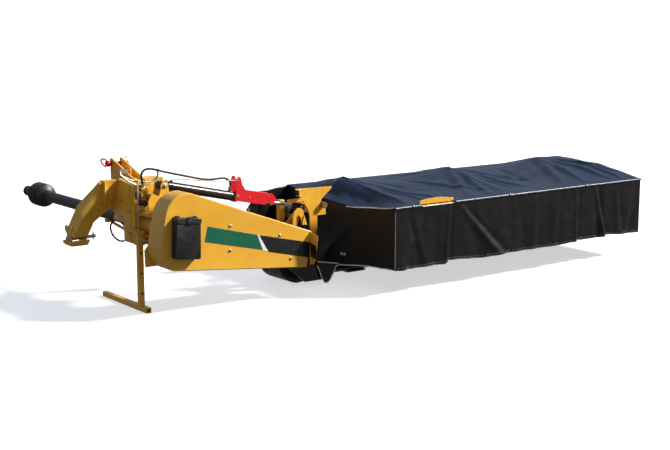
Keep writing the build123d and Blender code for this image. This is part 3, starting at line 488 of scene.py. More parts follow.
def plate_piece(name, look, body, *plates):
    """A piece made of flat plates: outline, way and thickness of each."""
    forge = Forge()
    for outline, way, thick in plates:
        forge.plate(outline, way, thick)
    return forge.finish(name, look, body)


def look_up(table, x):
    """Reads a table of (x, value) pairs with straight steps between."""
    if x <= table[0][0]:
        return table[0][1]
    for (x0, v0), (x1, v1) in zip(table, table[1:]):
        if x <= x1:
            return v0 + (v1 - v0) * (x - x0) / (x1 - x0)
    return table[-1][1]


def wrinkle(x, y, size, seed):
    """Smooth noise from -1 to 1."""
    return noise.noise(Vector((x / size, y / size, seed)))


# ---- lines ----


def cord_piece(name, route, diameter, look, body):
    """A flexible line: the route's points are the control points of one smooth spline."""
    data = bpy.data.curves.new(name, "CURVE")
    data.dimensions = "3D"
    spline = data.splines.new("NURBS")
    spline.points.add(len(route) - 1)
    for point, place in zip(spline.points, route):
        point.co = (*at(*place), 1)
    spline.order_u = 3
    spline.use_endpoint_u = True
    data.resolution_u = 12
    data.bevel_depth = diameter * MM / 2
    data.bevel_resolution = 5
    data.use_fill_caps = True
    return settle(new_object(name, data), look, body)


HOSE_ROUTE = [
    (-1640, 868, 882), (-1642, 868, 915), (-1652, 865, 948), (-1652, 861, 985), (-1627, 852, 1012),
    (-1585, 840, 1014), (-1520, 818, 994), (-1430, 795, 970), (-1335, 775, 947), (-1240, 762, 922),
    (-1150, 755, 908), (-1095, 752, 910), (-1040, 750, 913), (-1005, 750, 905), (-980, 750, 884),
    (-973, 750, 855), (-983.4, 750, 823.6),
]
ROPE_ROUTE = [
    (-1540, 704, 933), (-1475, 705, 944), (-1390, 706, 936), (-1300, 708, 921),
    (-1205, 710, 908), (-1110, 711, 898), (-1015, 711, 894), (-944, 711, 893),
]
KNOT_RADIUS = 9


def make_cords():
    hose = cord_piece("hydraulic_hose_line", HOSE_ROUTE, 16, RUBBERED, "lift_barrel")
    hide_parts("hydraulic_hose")
    fittings = Forge()
    fittings.turned((-1640, 868, 881), UPWARD, [(0, 11), (12, 11), (13, 9.2), (26, 9)], 6)
    fittings.turned((-983.4, 750, 824), (8.9, 0, 40), [(0, 12), (12, 12), (13, 9.8), (30, 9.2)], 6)
    ends = fittings.finish("hose_fittings", PLATED, "lift_barrel")
    rope = cord_piece("lock_rope_line", ROPE_ROUTE, 8, ROPED, "lift_barrel")
    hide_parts("lock_rope")
    knots = Forge()
    for x, y, z in ((-1538, 704, 934), (-946, 711, 893)):
        knots.pipe([(x + KNOT_RADIUS * 1.1 * math.cos(t), y + 5 * math.sin(3 * t), z + KNOT_RADIUS * math.sin(t))
                    for t in turn(24)], 4.2, 10, closed=True)
    tie = knots.finish("rope_knots", ROPED, "lift_barrel", smooth=True)


make_cords()


# ---- curtain ----

LENGTH, DEPTH = 2800, 1420
REAR_TOP, FRONT_TOP = 685, 705
SHOULDER_Y, RIDGE_Y = 480, 1000
# x at the rear edge, x on the ridge, height over the shoulder, height over the ridge, bow under it
TOP_ROWS = [
    (0, 0, 628, 660, False), (174, 267, 738, 794, True), (690, 845, 692, 722, False),
    (1191, 1423, 740, 795, True), (1660, 1974, 696, 735, False), (2092, 2525, 746, 802, True),
    (2800, 2800, 768, 795, False),
]
PEAK_POWER = 0.72  # below 1 the sheet falls steeply from a bow, then runs out flat
CALM_EDGE = 90  # width of the rim, where the folds fade out
# Folds of the top sheet: from x, y to x, y, half width, height
TOP_FOLDS = [
    (290, 960, 640, 60, 34, 9), (300, 900, 420, 40, 26, 7), (520, 980, 700, 500, 40, -8),
    (900, 940, 1130, 250, 38, 8), (1380, 930, 880, 150, 40, 10), (1400, 840, 1040, 60, 28, 8),
    (1450, 930, 1600, 200, 34, 9), (1500, 980, 1900, 420, 44, -10), (1300, 1040, 1000, 1300, 40, 8),
    (2480, 930, 1960, 130, 42, 11), (2490, 820, 2160, 60, 30, 8), (2560, 900, 2500, 60, 36, 9),
    (2600, 960, 2760, 300, 36, 8), (1990, 960, 1800, 400, 40, -8), (2700, 700, 2620, 30, 24, 7),
    (200, 700, 60, 250, 34, -9), (240, 980, 30, 640, 34, 9),
]
# The bows under the sheet: x and the sheet's height on the ridge, then their middle lines
BOWS = [(267, 794), (1423, 795), (2525, 802)]
BOW_DROP = 27.3  # from the sheet's ridge down to a bow's middle line
BOW_REAR_Y, BOW_REAR_Z = 21.3, 659.7
BOW_FRONT_Y, BOW_FRONT_Z = 1398.7, 675.7
BOW_RADIUS, BOW_GAP = 13, 5


def fold_height(x, y):
    """Sum of the top sheet's soft ridges along their lines."""
    total = 0
    for x0, y0, x1, y1, width, height in TOP_FOLDS:
        dx, dy = x1 - x0, y1 - y0
        t = ((x - x0) * dx + (y - y0) * dy) / (dx * dx + dy * dy)
        if -0.1 < t < 1.1:
            side = ((x - x0) * dy - (y - y0) * dx) / math.hypot(dx, dy)
            q = side / width
            if abs(q) < 3:
                fade = math.sin(math.pi * min(max((t + 0.1) / 1.2, 0), 1)) ** 0.8
                total += height * fade * (math.exp(-q * q) - 0.45 * math.exp(-(q - 1.5) ** 2))
    return total


def section(row, y):
    """Height of one row of the top sheet."""
    return look_up([(0, REAR_TOP), (SHOULDER_Y, row[2]), (RIDGE_Y, row[3]), (DEPTH, FRONT_TOP)], y)


def row_x(row, y):
    """Where a row of the top sheet crosses a given y; the bows' creases run slantwise."""
    share = min(max(y / RIDGE_Y, 0), 1)
    return row[0] + (row[1] - row[0]) * share


def bow_line(peak, y):
    """Height of a bow's middle line."""
    if y < RIDGE_Y:
        return BOW_REAR_Z + (peak - BOW_DROP - BOW_REAR_Z) * (y - BOW_REAR_Y) / (RIDGE_Y - BOW_REAR_Y)
    return peak - BOW_DROP + (BOW_FRONT_Z - peak + BOW_DROP) * (y - RIDGE_Y) / (BOW_FRONT_Y - RIDGE_Y)


def top_height(x, y):
    """The sheet's upper face: peaked over the bows, sagging between them."""
    for before, after in zip(TOP_ROWS, TOP_ROWS[1:]):
        x0, x1 = row_x(before, y), row_x(after, y)
        if x <= x1 or after is TOP_ROWS[-1]:
            f = min(max((x - x0) / (x1 - x0), 0), 1)
            if before[4]:
                s = math.sin(math.pi / 2 * f) ** PEAK_POWER
            elif after[4]:
                s = 1 - math.cos(math.pi / 2 * f) ** PEAK_POWER
            else:
                s = f
            z = section(before, y) * (1 - s) + section(after, y) * s
            break
    inside = max(min(y / CALM_EDGE, (DEPTH - y) / CALM_EDGE, 1), 0)
    z += inside * (1.5 * fold_height(x, y) + 7 * wrinkle(x, y * 1.4, 260, 1) + 0.8 * wrinkle(x, y, 90, 5))
    for bow, peak in BOWS:
        z = max(z, bow_line(peak, y) + BOW_RADIUS + BOW_GAP - ((x - bow) / 60) ** 2 * 16)
    return max(z, REAR_TOP) if y < 60 else z


CLOTH_THICK = 3


def grid_piece(name, place, columns, rows, material, keep=None):
    """A cloth sheet from a grid of places, with a thickness added on its inner side."""
    points = [place(i / (columns - 1), j / (rows - 1)) for j in range(rows) for i in range(columns)]
    faces = []
    for j in range(rows - 1):
        for i in range(columns - 1):
            a = j * columns + i
            face = [a, a + 1, a + columns + 1, a + columns]
            if keep is None or keep([points[k] for k in face]):
                faces.append(face)
    piece = mesh_piece(name, points, faces, ("curtain_vinyl", material), "cutterbar")
    shell = piece.modifiers.new("thickness", "SOLIDIFY")
    shell.thickness = CLOTH_THICK * MM
    shell.offset = -1
    return piece


NOTCH = (262, 602)
NOTCH_RAMP = 18


def in_notch(x):
    """1 where the rear edge is cut back and the rail shows, with short ramps."""
    low, high = NOTCH
    return min(max(min((x - low) / NOTCH_RAMP, (high - x) / NOTCH_RAMP), 0), 1)


ROLL = 0.035  # share of the top sheet's rows that goes round each rail
RIM = 9  # from the curtain's outline in to the start of that roll
REAR_RAIL, FRONT_RAIL = 686, 706
BLEND = 70  # over this width the sheet comes down to the rail's height


def round_rail(t, top):
    """How far out and how high the sheet lies on its way round a rail."""
    angle = t * math.pi / 2
    return 13 * math.sin(angle), top - 9 * (1 - math.cos(angle)) - 17 * max(t - 0.35, 0)


def top_place(u, v):
    """The top sheet, rolled over both rails."""
    x = -5 + u * (LENGTH + 10)
    open_rail = in_notch(x)
    if v < ROLL:
        t = 1 - v / ROLL
        out, z = round_rail(t, REAR_RAIL)
        y = RIM - out
        z += 2.5 * wrinkle(x, 0, 60, 9) * t
        return (x, y * (1 - open_rail) + (38 + 6 * (1 - t)) * open_rail,
                z * (1 - open_rail) + (689 - t) * open_rail)
    if v > 1 - ROLL:
        out, z = round_rail((v - 1 + ROLL) / ROLL, FRONT_RAIL)
        return x, DEPTH - RIM + out, z
    y = RIM + (v - ROLL) / (1 - 2 * ROLL) * (DEPTH - 2 * RIM)
    z = top_height(x, y)
    if y < BLEND:
        z = z * (y / BLEND) + REAR_RAIL * (1 - y / BLEND)
        y = max(y, 44 * open_rail + y * (1 - open_rail))
    if y > DEPTH - BLEND:
        t = (DEPTH - y) / BLEND
        z = z * t + FRONT_RAIL * (1 - t)
    return x, y, z


# Heights of the rear panel's hem along x
REAR_HEM = [(0, 205), (490, 200), (525, 218), (660, 220), (890, 200), (1100, 208), (1770, 203),
            (2010, 220), (2280, 214), (2410, 224), (2600, 214), (2800, 206)]
# Folds of the rear panel: x at the top, x at the hem, half width, depth
REAR_FOLDS = [
    (300, 70, 34, 11), (549, 511, 24, 15), (620, 1090, 44, 12), (760, 860, 60, -6),
    (1240, 1290, 50, 5), (1500, 1470, 40, 6), (1760, 1700, 36, 6), (1988, 1959, 26, 13),
    (2205, 2334, 26, 14), (2290, 2250, 40, -7), (2480, 2520, 30, 6), (2711, 2564, 44, 12),
    (130, 250, 30, -6), (420, 400, 40, -5),
]


def from_side(x, width, reach):
    """0 on a panel's side edges, 1 further in."""
    return min(x, width - x, reach) / reach


def rear_depth(x, s):
    """How far the rear panel stands out, from the top (s = 0) to the hem (s = 1)."""
    out = 0
    for top_x, hem_x, width, depth in REAR_FOLDS:
        q = (x - top_x - (hem_x - top_x) * s) / (width * (0.7 + 0.6 * s))
        if abs(q) < 3.5:
            out += depth * (0.35 + 0.65 * s) * (math.exp(-q * q) - 0.5 * math.exp(-(q - 1.5) ** 2 * 1.2))
    swell = 7 * math.sin(x / LENGTH * math.tau * 3.1 + 0.8) + 4 * math.sin(x / LENGTH * math.tau * 7.3 + 2.1)
    return 1.6 * out + s * swell + s * 6 * wrinkle(x, s * 300, 190, 3) + 1.6 * wrinkle(x, s * 480, 60, 8)


def rear_place(u, v):
    x = u * LENGTH
    top = 679 - 5 * in_notch(x)
    hem = look_up(REAR_HEM, x)
    s = 1 - v
    y = 1 - rear_depth(x, s) * from_side(x, LENGTH, 60) * min(s * 3 + 0.15, 1)
    return x, y, hem + (top - hem) * v


def front_place(u, v):
    x = LENGTH - u * LENGTH
    s = 1 - v
    hem = 150 + 5 * wrinkle(x, 0, 260, 4)
    waves = 7 * math.sin(x / 214) + 5 * math.sin(x / 97 + 1) + 6 * wrinkle(x, s * 300, 170, 13)
    return x, DEPTH - 1 + from_side(x, LENGTH, 60) * s * waves, hem + (699 - hem) * v


# Heights of the inboard panel's edges along y
INNER_TOP = [(0, 680), (124, 662), (480, 626), (700, 632), (1000, 656), (1200, 680), (1420, 700)]
INNER_HEM = [(0, 208), (310, 193), (610, 151), (810, 135), (990, 119), (1420, 90)]


def inner_place(u, v):
    """The inboard panel, with the bulge that the shoe's carrier pushes out."""
    y = 1 + (1 - u) * (DEPTH - 2)
    s = 1 - v
    hem = look_up(INNER_HEM, y) + 4 * wrinkle(y, 0, 200, 6)
    top = look_up(INNER_TOP, y) - 3
    z = hem + (top - hem) * v
    bulge = 30 * math.exp(-((y - 800 + (z - 270) * 0.9) / 70) ** 2) * math.exp(-((z - 280) / 110) ** 2)
    out = (bulge + 9 * math.exp(-((y - 120 - s * 40) / 26) ** 2) * (0.4 + s)
           + 7 * math.exp(-((y - 430 + s * 60) / 40) ** 2) * s)
    out += s * 7 * wrinkle(y, s * 300, 150, 11) + 2 * wrinkle(y, z, 60, 12)
    return 1 - max(out, -3) * from_side(y, DEPTH, 40), y, z


def hole_clear(corners):
    """Leaves the opening that the cross tube passes through."""
    y = sum(c[1] for c in corners) / 4
    z = sum(c[2] for c in corners) / 4
    return not (920 < y < 1000 and 550 < z < 630)


def outer_place(u, v):
    y = 1 + u * (DEPTH - 2)
    s = 1 - v
    hem = 205 + (150 - 205) * y / DEPTH + 4 * wrinkle(y, 0, 200, 16)
    top = look_up([(0, 679), (480, 757), (1000, 785), (1420, 699)], y)
    waves = 6 * math.sin(y / 130) + 6 * wrinkle(y, s * 300, 150, 18)
    return LENGTH - 1 + from_side(y, DEPTH, 40) * s * waves, y, hem + (top - hem) * v


WING_TOP = [(-420, 530), (-295, 672), (-150, 684), (-20, 696), (2, 698)]
WING_LOW = [(-420, 505), (-340, 410), (-190, 370), (-20, 370), (2, 372)]


def wing_place(u, v):
    """The cloth wing at the curtain's front inboard corner, beside the lift lever."""
    x = -420 + 422 * u
    low, high = look_up(WING_LOW, x), look_up(WING_TOP, x)
    loose = min(1 - u, 0.4) / 0.4
    waves = 16 * math.sin(u * 15 + 1) * (1.2 - v) + 8 * math.sin(u * 34) * (1 - v)
    return x, 1412 - loose * (waves + 6 * wrinkle(x, v * 200, 80, 23)), low + (high - low) * v


FLAP_LOW = [(-225, 160), (-210, 122), (-182, 52), (-160, 22), (-142, 12), (-120, 14), (-99, 28),
            (-65, 90), (-45, 138), (-12, 143)]


def flap_place(u, v):
    """The flap that hangs below the inboard panel, in front of the inner shoe's carrier."""
    x = -225 + 213 * u
    low, high = look_up(FLAP_LOW, x), 192 - 40 * u
    y = 687 - 5 * math.sin(u * 9) * (1 - v) - 4 * abs(wrinkle(x, v * 100, 60, 20))
    return x, y, low + (high - low) * v


STITCH_PITCH, STITCH_LENGTH, STITCH_LIFT = 15, 9, 1.4


def stitches(name, points, way, size):
    """Short threads along a line of close points."""
    forge = Forge()
    lift = Vector(way).normalized() * STITCH_LIFT
    walked, last = 0, Vector(points[0])
    for p in points[1:]:
        p = Vector(p)
        walked += (p - last).length
        if walked >= STITCH_PITCH:
            walked = 0
            d = (p - last).normalized()
            forge.pipe([p + lift * 0.4, p + d * STITCH_LENGTH * 0.3 + lift, p + d * STITCH_LENGTH * 0.7 + lift,
                        p + d * STITCH_LENGTH + lift * 0.4], size, 6)
        last = p
    return forge.finish(name, ("curtain_vinyl", THREAD), "cutterbar", smooth=True)


def edge_line(place, fixed_v, columns, out, low=0, high=1):
    """Close points along one edge of a sheet."""
    return [Vector(place(low + (high - low) * i / columns, fixed_v)) + Vector(out) for i in range(columns + 1)]


def make_curtain():
    # The top sheet's navy is a painted sky reflection
    top = grid_piece("curtain_top_sheet", top_place, 260, 130, CLOTH_TOP_PAINTED_SKY)
    rear = grid_piece("curtain_rear_sheet", rear_place, 330, 44, CLOTH_SIDE)
    front = grid_piece("curtain_front_sheet", front_place, 160, 26, CLOTH_SIDE)
    inner = grid_piece("curtain_inner_sheet", inner_place, 144, 52, CLOTH_SHADE, hole_clear)
    outer = grid_piece("curtain_outer_sheet", outer_place, 110, 40, CLOTH_SIDE)
    hems = Forge()
    hems.pipe(edge_line(rear_place, 0, 300, (0, 1.5, 0)), 3.4, 8)
    hems.pipe(edge_line(inner_place, 0, 140, (1.5, 0, 0)), 3.4, 8)
    hem = hems.finish("curtain_hems", ("curtain_vinyl", RUBBER), "cutterbar", smooth=True)
    plate_piece("notch_ledge", ENAMELLED, "cutterbar",
                (upright(26, [(262, 682), (606, 682), (606, 706), (560, 712), (464, 724), (330, 720), (262, 708)]),
                 (0, 1, 0), 8))
    pale = Forge()
    pale.bent([(-4, 600, 622), (-5, 480, 629), (-5, 300, 648), (-5, 124, 664), (-5, 12, 682)], 8, 4.6, 8)
    pale.pipe(edge_line(inner_place, 0, 90, (-5, 0, -1), 0.3, 0.97), 4.5, 8)
    piping = pale.finish("curtain_piping", PALE, "cutterbar", smooth=True)
    corner_line = [(-2 - 0.6 * math.sin(k), -3, 668 - k * 4.6) for k in range(100)]
    seam = stitches("curtain_corner_stitches", corner_line, (-0.6, -0.8, 0), 2.4)
    hem_seam = stitches("curtain_hem_stitches", edge_line(rear_place, 0.035, 560, REARWARD), REARWARD, 0.6)
    # Steel eyelets in the pale plastic's colour: a painted glint that shows them as white dots
    eyelets = Forge()
    for y, z in ((639, 240), (601, 241)):
        eyelets.hoop((-20, y, z), 9, 2.6, 20)
    for x, z in ((174, 684), (1191, 686), (2092, 686)):
        eyelets.turned((x, -1, z), REARWARD, [(0, 6), (5, 6), (7, 4.5), (8, 2)], 16)
    eyelet = eyelets.finish("curtain_eyelets", ("bare_steel", PALE_EDGE), "cutterbar", smooth=True)
    for piece, node in ((top, "curtain_top"), (rear, "curtain_rear"), (front, "curtain_front"),
                        (inner, "curtain_inner"), (outer, "curtain_outer")):
        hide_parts(node)
    wing = grid_piece("curtain_wing", wing_place, 60, 30, CLOTH_SIDE)


make_curtain()


# ---- shield ----

SHIELD_Y = 416.8  # a hair behind the shield's rear face
ROUND_STEPS = 5


def rounded(corners, radius, inset):
    """Outline in x and z with rounded corners, drawn in by an inset towards the middle."""
    middle = sum((Vector(c) for c in corners), Vector((0, 0))) / len(corners)
    out = []
    for i, c in enumerate(corners):
        c = Vector(c)
        before = (Vector(corners[i - 1]) - c).normalized()
        after = (Vector(corners[(i + 1) % len(corners)]) - c).normalized()
        c = c + (middle - c).normalized() * inset * 1.4
        a, b = c + before * radius, c + after * radius
        for k in range(ROUND_STEPS + 1):
            t = k / ROUND_STEPS
            out.append(a * (1 - t) ** 2 + c * 2 * t * (1 - t) + b * t ** 2)
    return out


def make_document_box():
    """The box for papers on the shield: grained plastic, a lid with two hinges and a latch."""
    body = Forge()
    shape = [(-1670, 434), (-1658, 690), (-1464, 672), (-1468, 413)]
    lid = [(-1661, 684), (-1655, 722), (-1458, 701), (-1461, 664)]
    for outline, radius, layers in ((shape, 14, ((SHIELD_Y, 0), (362, 0), (356, 1.5), (353, 5))),
                                    (lid, 9, ((SHIELD_Y, 0), (357, 0), (351, 1.2), (348, 4)))):
        body.ring_stack([upright(y, rounded(outline, radius, inset)) for y, inset in layers])
    for x, z in ((-1630, 724), (-1492, 709)):
        body.slab((x - 16, 380, z - 12), (x + 16, 412, z + 8), 3)
    body.slab((-1582, 343, 668), (-1534, 356, 724), 3)
    body.slab((-1576, 340, 676), (-1540, 346, 700), 2)
    piece = body.finish("document_box_body", ("black_plastic", MATERIALS["black_plastic"]))
    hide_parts("document_box")


FILM = 0.8  # the band's films stand this far off the shield


def make_shield_trim():
    """The band in three colours, a cheek that closes the shield's end, and the bolts."""
    y = SHIELD_Y
    band_end = ([(-485.2, 412, 414), (-485.2, 332, 396), (-485.2, 334, 292), (-485.2, 412, 306)], LEFTWARD, FILM)
    for name, material, outline, *more in (
            ("band_green", GREEN_FILM, [(-1374, 629), (-957, 524), (-911, 406), (-1402, 520)]),
            ("band_slash", WHITE_FILM, [(-957, 524), (-944, 521), (-863, 387), (-911, 406)]),
            ("band_black", BLACK_FILM, [(-944, 521), (-484, 416), (-502, 302), (-863, 387)], band_end)):
        plate_piece(name, ("yellow_paint", material), HITCH, (upright(y, outline), REARWARD, FILM), *more)
    plate_piece("shield_cheek", ENAMELLED, HITCH, (
        [(-482.4, 416.5, 498), (-482.4, 320, 474), (-482.4, 346, 288), (-482.4, 416.5, 243)], LEFTWARD, 2.6))
    bolts = Forge()
    for x, z in ((-1189, 614), (-1192, 434), (-760, 498), (-664, 313)):
        bolts.turned((x, y, z), REARWARD, [(0, 12), (2, 12), (3, 10.5)], 24)
        bolts.bolt((x, y - 3, z), REARWARD, 9, washer=False)
    bolts.finish("shield_bolts", PLATED)


make_document_box()
make_shield_trim()


# ---- headstock ----

LEFT_FACE = -1693  # the column's left face
MIDDLE_X = -1573  # the hitch's middle plane
PIN_X, PIN_TAIL = 412, 136.5  # half the pins' spread, and from a pin in to its lynch pin


def make_column_details():
    beads = Forge()
    beads.weld((LEFT_FACE - 1, 1146, 903), (LEFT_FACE - 1, 1254, 668), 4.5)
    beads.weld((-1631, 1002, 902), (-1631, 1146, 917), 4)
    beads.weld((-1515, 1002, 902), (-1515, 1146, 917), 4)
    beads.weld((LEFT_FACE - 1, 903, 470), (LEFT_FACE - 1, 903, 572), 3.5)
    beads.weld((-1604, 899, 817), (-1511, 899, 817), 4)
    beads.finish("weld_beads", ENAMELLED, smooth=True)
    # Plated rod beside the column, with its foot and clip
    x, y = -1697, 840
    rod = Forge()
    rod.turned((x, y, 576), UPWARD, [(0, 11), (12, 11), (14, 6.5), (342, 6.5), (344, 5.5)], 16)
    rod.turned((x, y, 700), UPWARD, [(0, 9), (2, 10.5), (20, 10.5), (22, 9)], 16)
    rod.slab((x - 10, y - 10, 846), (x + 24, 900, 855))
    rod.finish("latch_rod", PLATED)
    # Small oil cylinder across the column's rear
    can = Forge()
    y, z = 828, 767
    can.turned((-1690, y, z), RIGHTWARD,
               [(0, 12), (6, 14), (16, 14), (17, 17), (118, 17), (119, 14.5), (128, 14), (131, 9)], 28)
    for x in (-1655, -1590):
        can.slab((x, y - 19, z - 19), (x + 14, 900, z + 19), 2)
    can.turned((-1612, y, z + 14), UPWARD, [(0, 7), (10, 7), (11, 9.5), (20, 9.5), (22, 7)], 6)
    can.finish("oil_cylinder", BLACKED)
    plate = Forge()
    plate.slab((-1684, 896, 791), (-1637, 900, 852), 1.2)
    plate.finish("blank_plate", RUBBERED)
    # Two steel lines over the column's head
    line = Forge()
    line.bent([(-1588, 892, 775), (-1589, 890, 826), (-1600, 888, 862), (-1640, 886, 885), (-1708, 884, 908),
               (-1770, 886, 945), (-1800, 892, 978), (-1790, 920, 1004), (-1740, 980, 1002), (-1665, 1040, 985)],
              10, 7)
    line.turned((-1588, 892, 770), UPWARD, [(0, 10), (14, 10), (15, 7), (22, 6.5)], 6)
    line.turned((-1640, 886, 885), (-15, -1, 5), [(-8, 8.5), (8, 8.5), (9, 6)], 6)
    line.finish("steel_line", PLATED)
    line = Forge()
    line.bent([(-1670, 1040, 968), (-1745, 975, 988), (-1798, 915, 986), (-1762, 892, 953), (-1693, 891, 926),
               (-1616, 891, 912), (-1540, 890, 918), (-1508, 888, 950), (-1505, 888, 990)], 10, 6.5)
    line.turned((-1505, 888, 980), UPWARD, [(0, 10), (18, 10), (20, 7), (24, 6)], 6)
    line.finish("breather_line", PLATED)


def make_mast_details():
    """The top-link pin's red ball and handle, its lynch pin, and the arch between the mast's plates."""
    ball = Forge()
    cx, cy, cz, r = -1647, 1400, 1000, 24
    steps = 14
    rings = []
    for a in [math.pi * i / steps for i in range(1, steps)]:
        out = r * math.sin(a)
        rings.append([(cx - r * math.cos(a), cy + out * math.cos(t), cz + out * math.sin(t)) for t in turn(28)])
    ball.ring_stack(rings)
    ball.finish("pin_ball", ("red_paint", RED_GRIP), smooth=True)
    handle = Forge()
    handle.bent([(-1662, 1396, 1010), (-1680, 1360, 1032), (-1684, 1395, 1038), (-1686, 1435, 1026),
                 (-1684, 1415, 998), (-1680, 1375, 982), (-1664, 1392, 988)], 8, 6)
    handle.finish("pin_handle", ("red_paint", RED_GRIP), smooth=True)
    lynch = Forge()
    lynch.turned((-1498, 1400, 1000), RIGHTWARD, [(0, 12.6), (22, 12.6), (26, 8)])
    lynch.hoop((-1492, 1400, 1022), 24, 2.4, 28, 3)
    lynch.turned((-1492, 1400, 960), UPWARD, [(0, 4), (76, 4)], 10)
    lynch.finish("top_lynch", PLATED, smooth=True)
    arch = Forge()
    arch.bent([(MIDDLE_X, y, z) for y, z in ((1322, 930), (1322, 962), (1290, 986), (1230, 990), (1186, 976),
                                             (1180, 934))], 8, 6.5)
    arch.finish("mast_arch", ENAMELLED, smooth=True)


def make_lower_details():
    """Lynch pins and their wire on both lower pins, the stand's spring, and the column's bolts."""
    for name, side in (("left", -1), ("right", 1)):
        tail = MIDDLE_X + side * PIN_X - side * PIN_TAIL
        clip = Forge()
        clip.turned((tail, 1271, 462), UPWARD, [(0, 3.6), (1, 4.2), (48, 4.2), (49, 3)], 12)
        clip.hoop((tail, 1271, 505), 19, 2.2, 26, 3, 2)
        clip.bent([(tail, 1290, 500), (tail - side * 2, 1296, 462), (tail + side * 12, 1330, 430),
                   (tail + side * 34, 1352, 436), (tail + side * 58, 1330, 452)], 8, 1.5, 8)
        clip.finish("lynch_" + name, PLATED, smooth=True)
    spring = Forge()
    turns, steps = 7, 14
    spring.pipe([(-1722 + 12.5 * math.cos(k * math.tau / steps), 714 + 42 * (k / (turns * steps)),
                  524 + 12.5 * math.sin(k * math.tau / steps)) for k in range(turns * steps + 1)], 2.1, 8)
    spring.finish("stand_spring", PLATED, smooth=True)
    fasteners = Forge()
    for out, y, z in ((8, 985, 548), (8, 985, 700), (0, 1100, 760), (0, 1100, 640)):
        fasteners.bolt((LEFT_FACE - out, y, z), LEFTWARD, 10)
    fasteners.finish("headstock_bolts", PLATED)


LANYARD_ROUTE = [
    (-1643, 1282, 590), (-1672, 1280, 586), (-1698, 1275, 568), (-1712, 1264, 535), (-1714, 1240, 503),
    (-1712, 1205, 476), (-1708, 1154, 459), (-1704, 1110, 456), (-1701, 1071, 464),
]


def make_lanyard():
    """Black line that hangs from the driveline's guard to the column's foot."""
    cord = cord_piece("stand_lanyard", LANYARD_ROUTE, 14, RUBBERED, HITCH)


RIB_RADIUS, RIB_PITCH = 93, 30


def make_guard_ribs():
    """Deep ribs round the bell of the driveline's guard."""
    low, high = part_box("driveline_guard")
    axis_z, end = (low.z + high.z) / 2 / MM, (high.y - corner.y) / MM
    ribs = Forge()
    for k in range(5):
        y = end - 10 - k * RIB_PITCH
        ribs.pipe([(MIDDLE_X + RIB_RADIUS * math.cos(t), y, axis_z + RIB_RADIUS * math.sin(t))
                   for t in turn(48)], 7.5, 10, closed=True)
    ribs.finish("guard_ribs", ("black_plastic", RIB_PLASTIC), smooth=True)


make_column_details()
make_mast_details()
make_lower_details()
make_lanyard()
make_guard_ribs()


# ---- lift ----

# The cylinder's middle line, from the base pin to the eye at the fork, and what stands square to it
BASE, EYE = Vector((-1555, 750, 902)), Vector((-345, 750, 633))
WAY = (EYE - BASE).normalized()
UP = Vector((-WAY.z, 0, WAY.x))
GLAND_PINS = 31.2


def on_lift(along, side=0, y=750):
    p = BASE + WAY * along + UP * side
    return Vector((p.x, y, p.z))


def make_lift_details():
    bits = Forge()
    bits.turned(on_lift(600), WAY, [(0, 35.4), (2, 37.5), (12, 37.5), (14, 35.4)], 40)
    bits.turned(on_lift(66), WAY, [(0, 35.3), (2, 38), (12, 38), (14, 35.3)], 40)
    bits.finish("barrel_rings", BLACKED, "lift_barrel")
    gland = Forge()
    gland.turned(on_lift(667), WAY, [(-4, 31), (0.5, 30), (2, 27), (2.4, 16)], 32)
    for a in turn(4, 0.4):
        pin = on_lift(648) + UP * GLAND_PINS * math.cos(a) + Vector((0, GLAND_PINS * math.sin(a), 0))
        gland.turned(pin, WAY, [(0, 2), (12, 2)], 8)
    gland.finish("gland_nut", BLACKED, "lift_barrel")
    pins = Forge()
    for y, way in ((698, -1), (802, 1)):
        pins.turned((BASE.x, y, BASE.z), (0, way, 0), [(-1, 19), (3, 19), (4, 17)], 28)
        pins.bolt((BASE.x, y + way * 4, BASE.z), (0, way, 0), 13, washer=False)
    pins.finish("base_pin_heads", PLATED)
    eye = Forge()
    for y, way in ((722, -1), (778, 1)):
        eye.turned((EYE.x, y, EYE.z), (0, way, 0), [(-1, 17), (2, 17), (3, 15)], 28)
    eye.finish("fork_pin_heads", PLATED, "lift_rod")
    lock = Forge()
    for y, way in ((708, -1), (792, 1)):
        for along, side, size in ((735, 8, 7), (905, 40, 5)):
            lock.bolt(on_lift(along, side, y), (0, way, 0), size, washer=False)
        lock.turned(on_lift(630, 5, y), (0, way, 0), [(0, 12), (2, 12), (4, 10)])
    lock.finish("lock_bolts", PLATED, "lift_barrel")


make_lift_details()


# ---- carrier ----

# Rear end of the lift lever's square stub, from the lever's own box, and its left side
STUB_Y = (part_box("lift_lever")[0].y - corner.y) / MM
STUB_X = -426.6


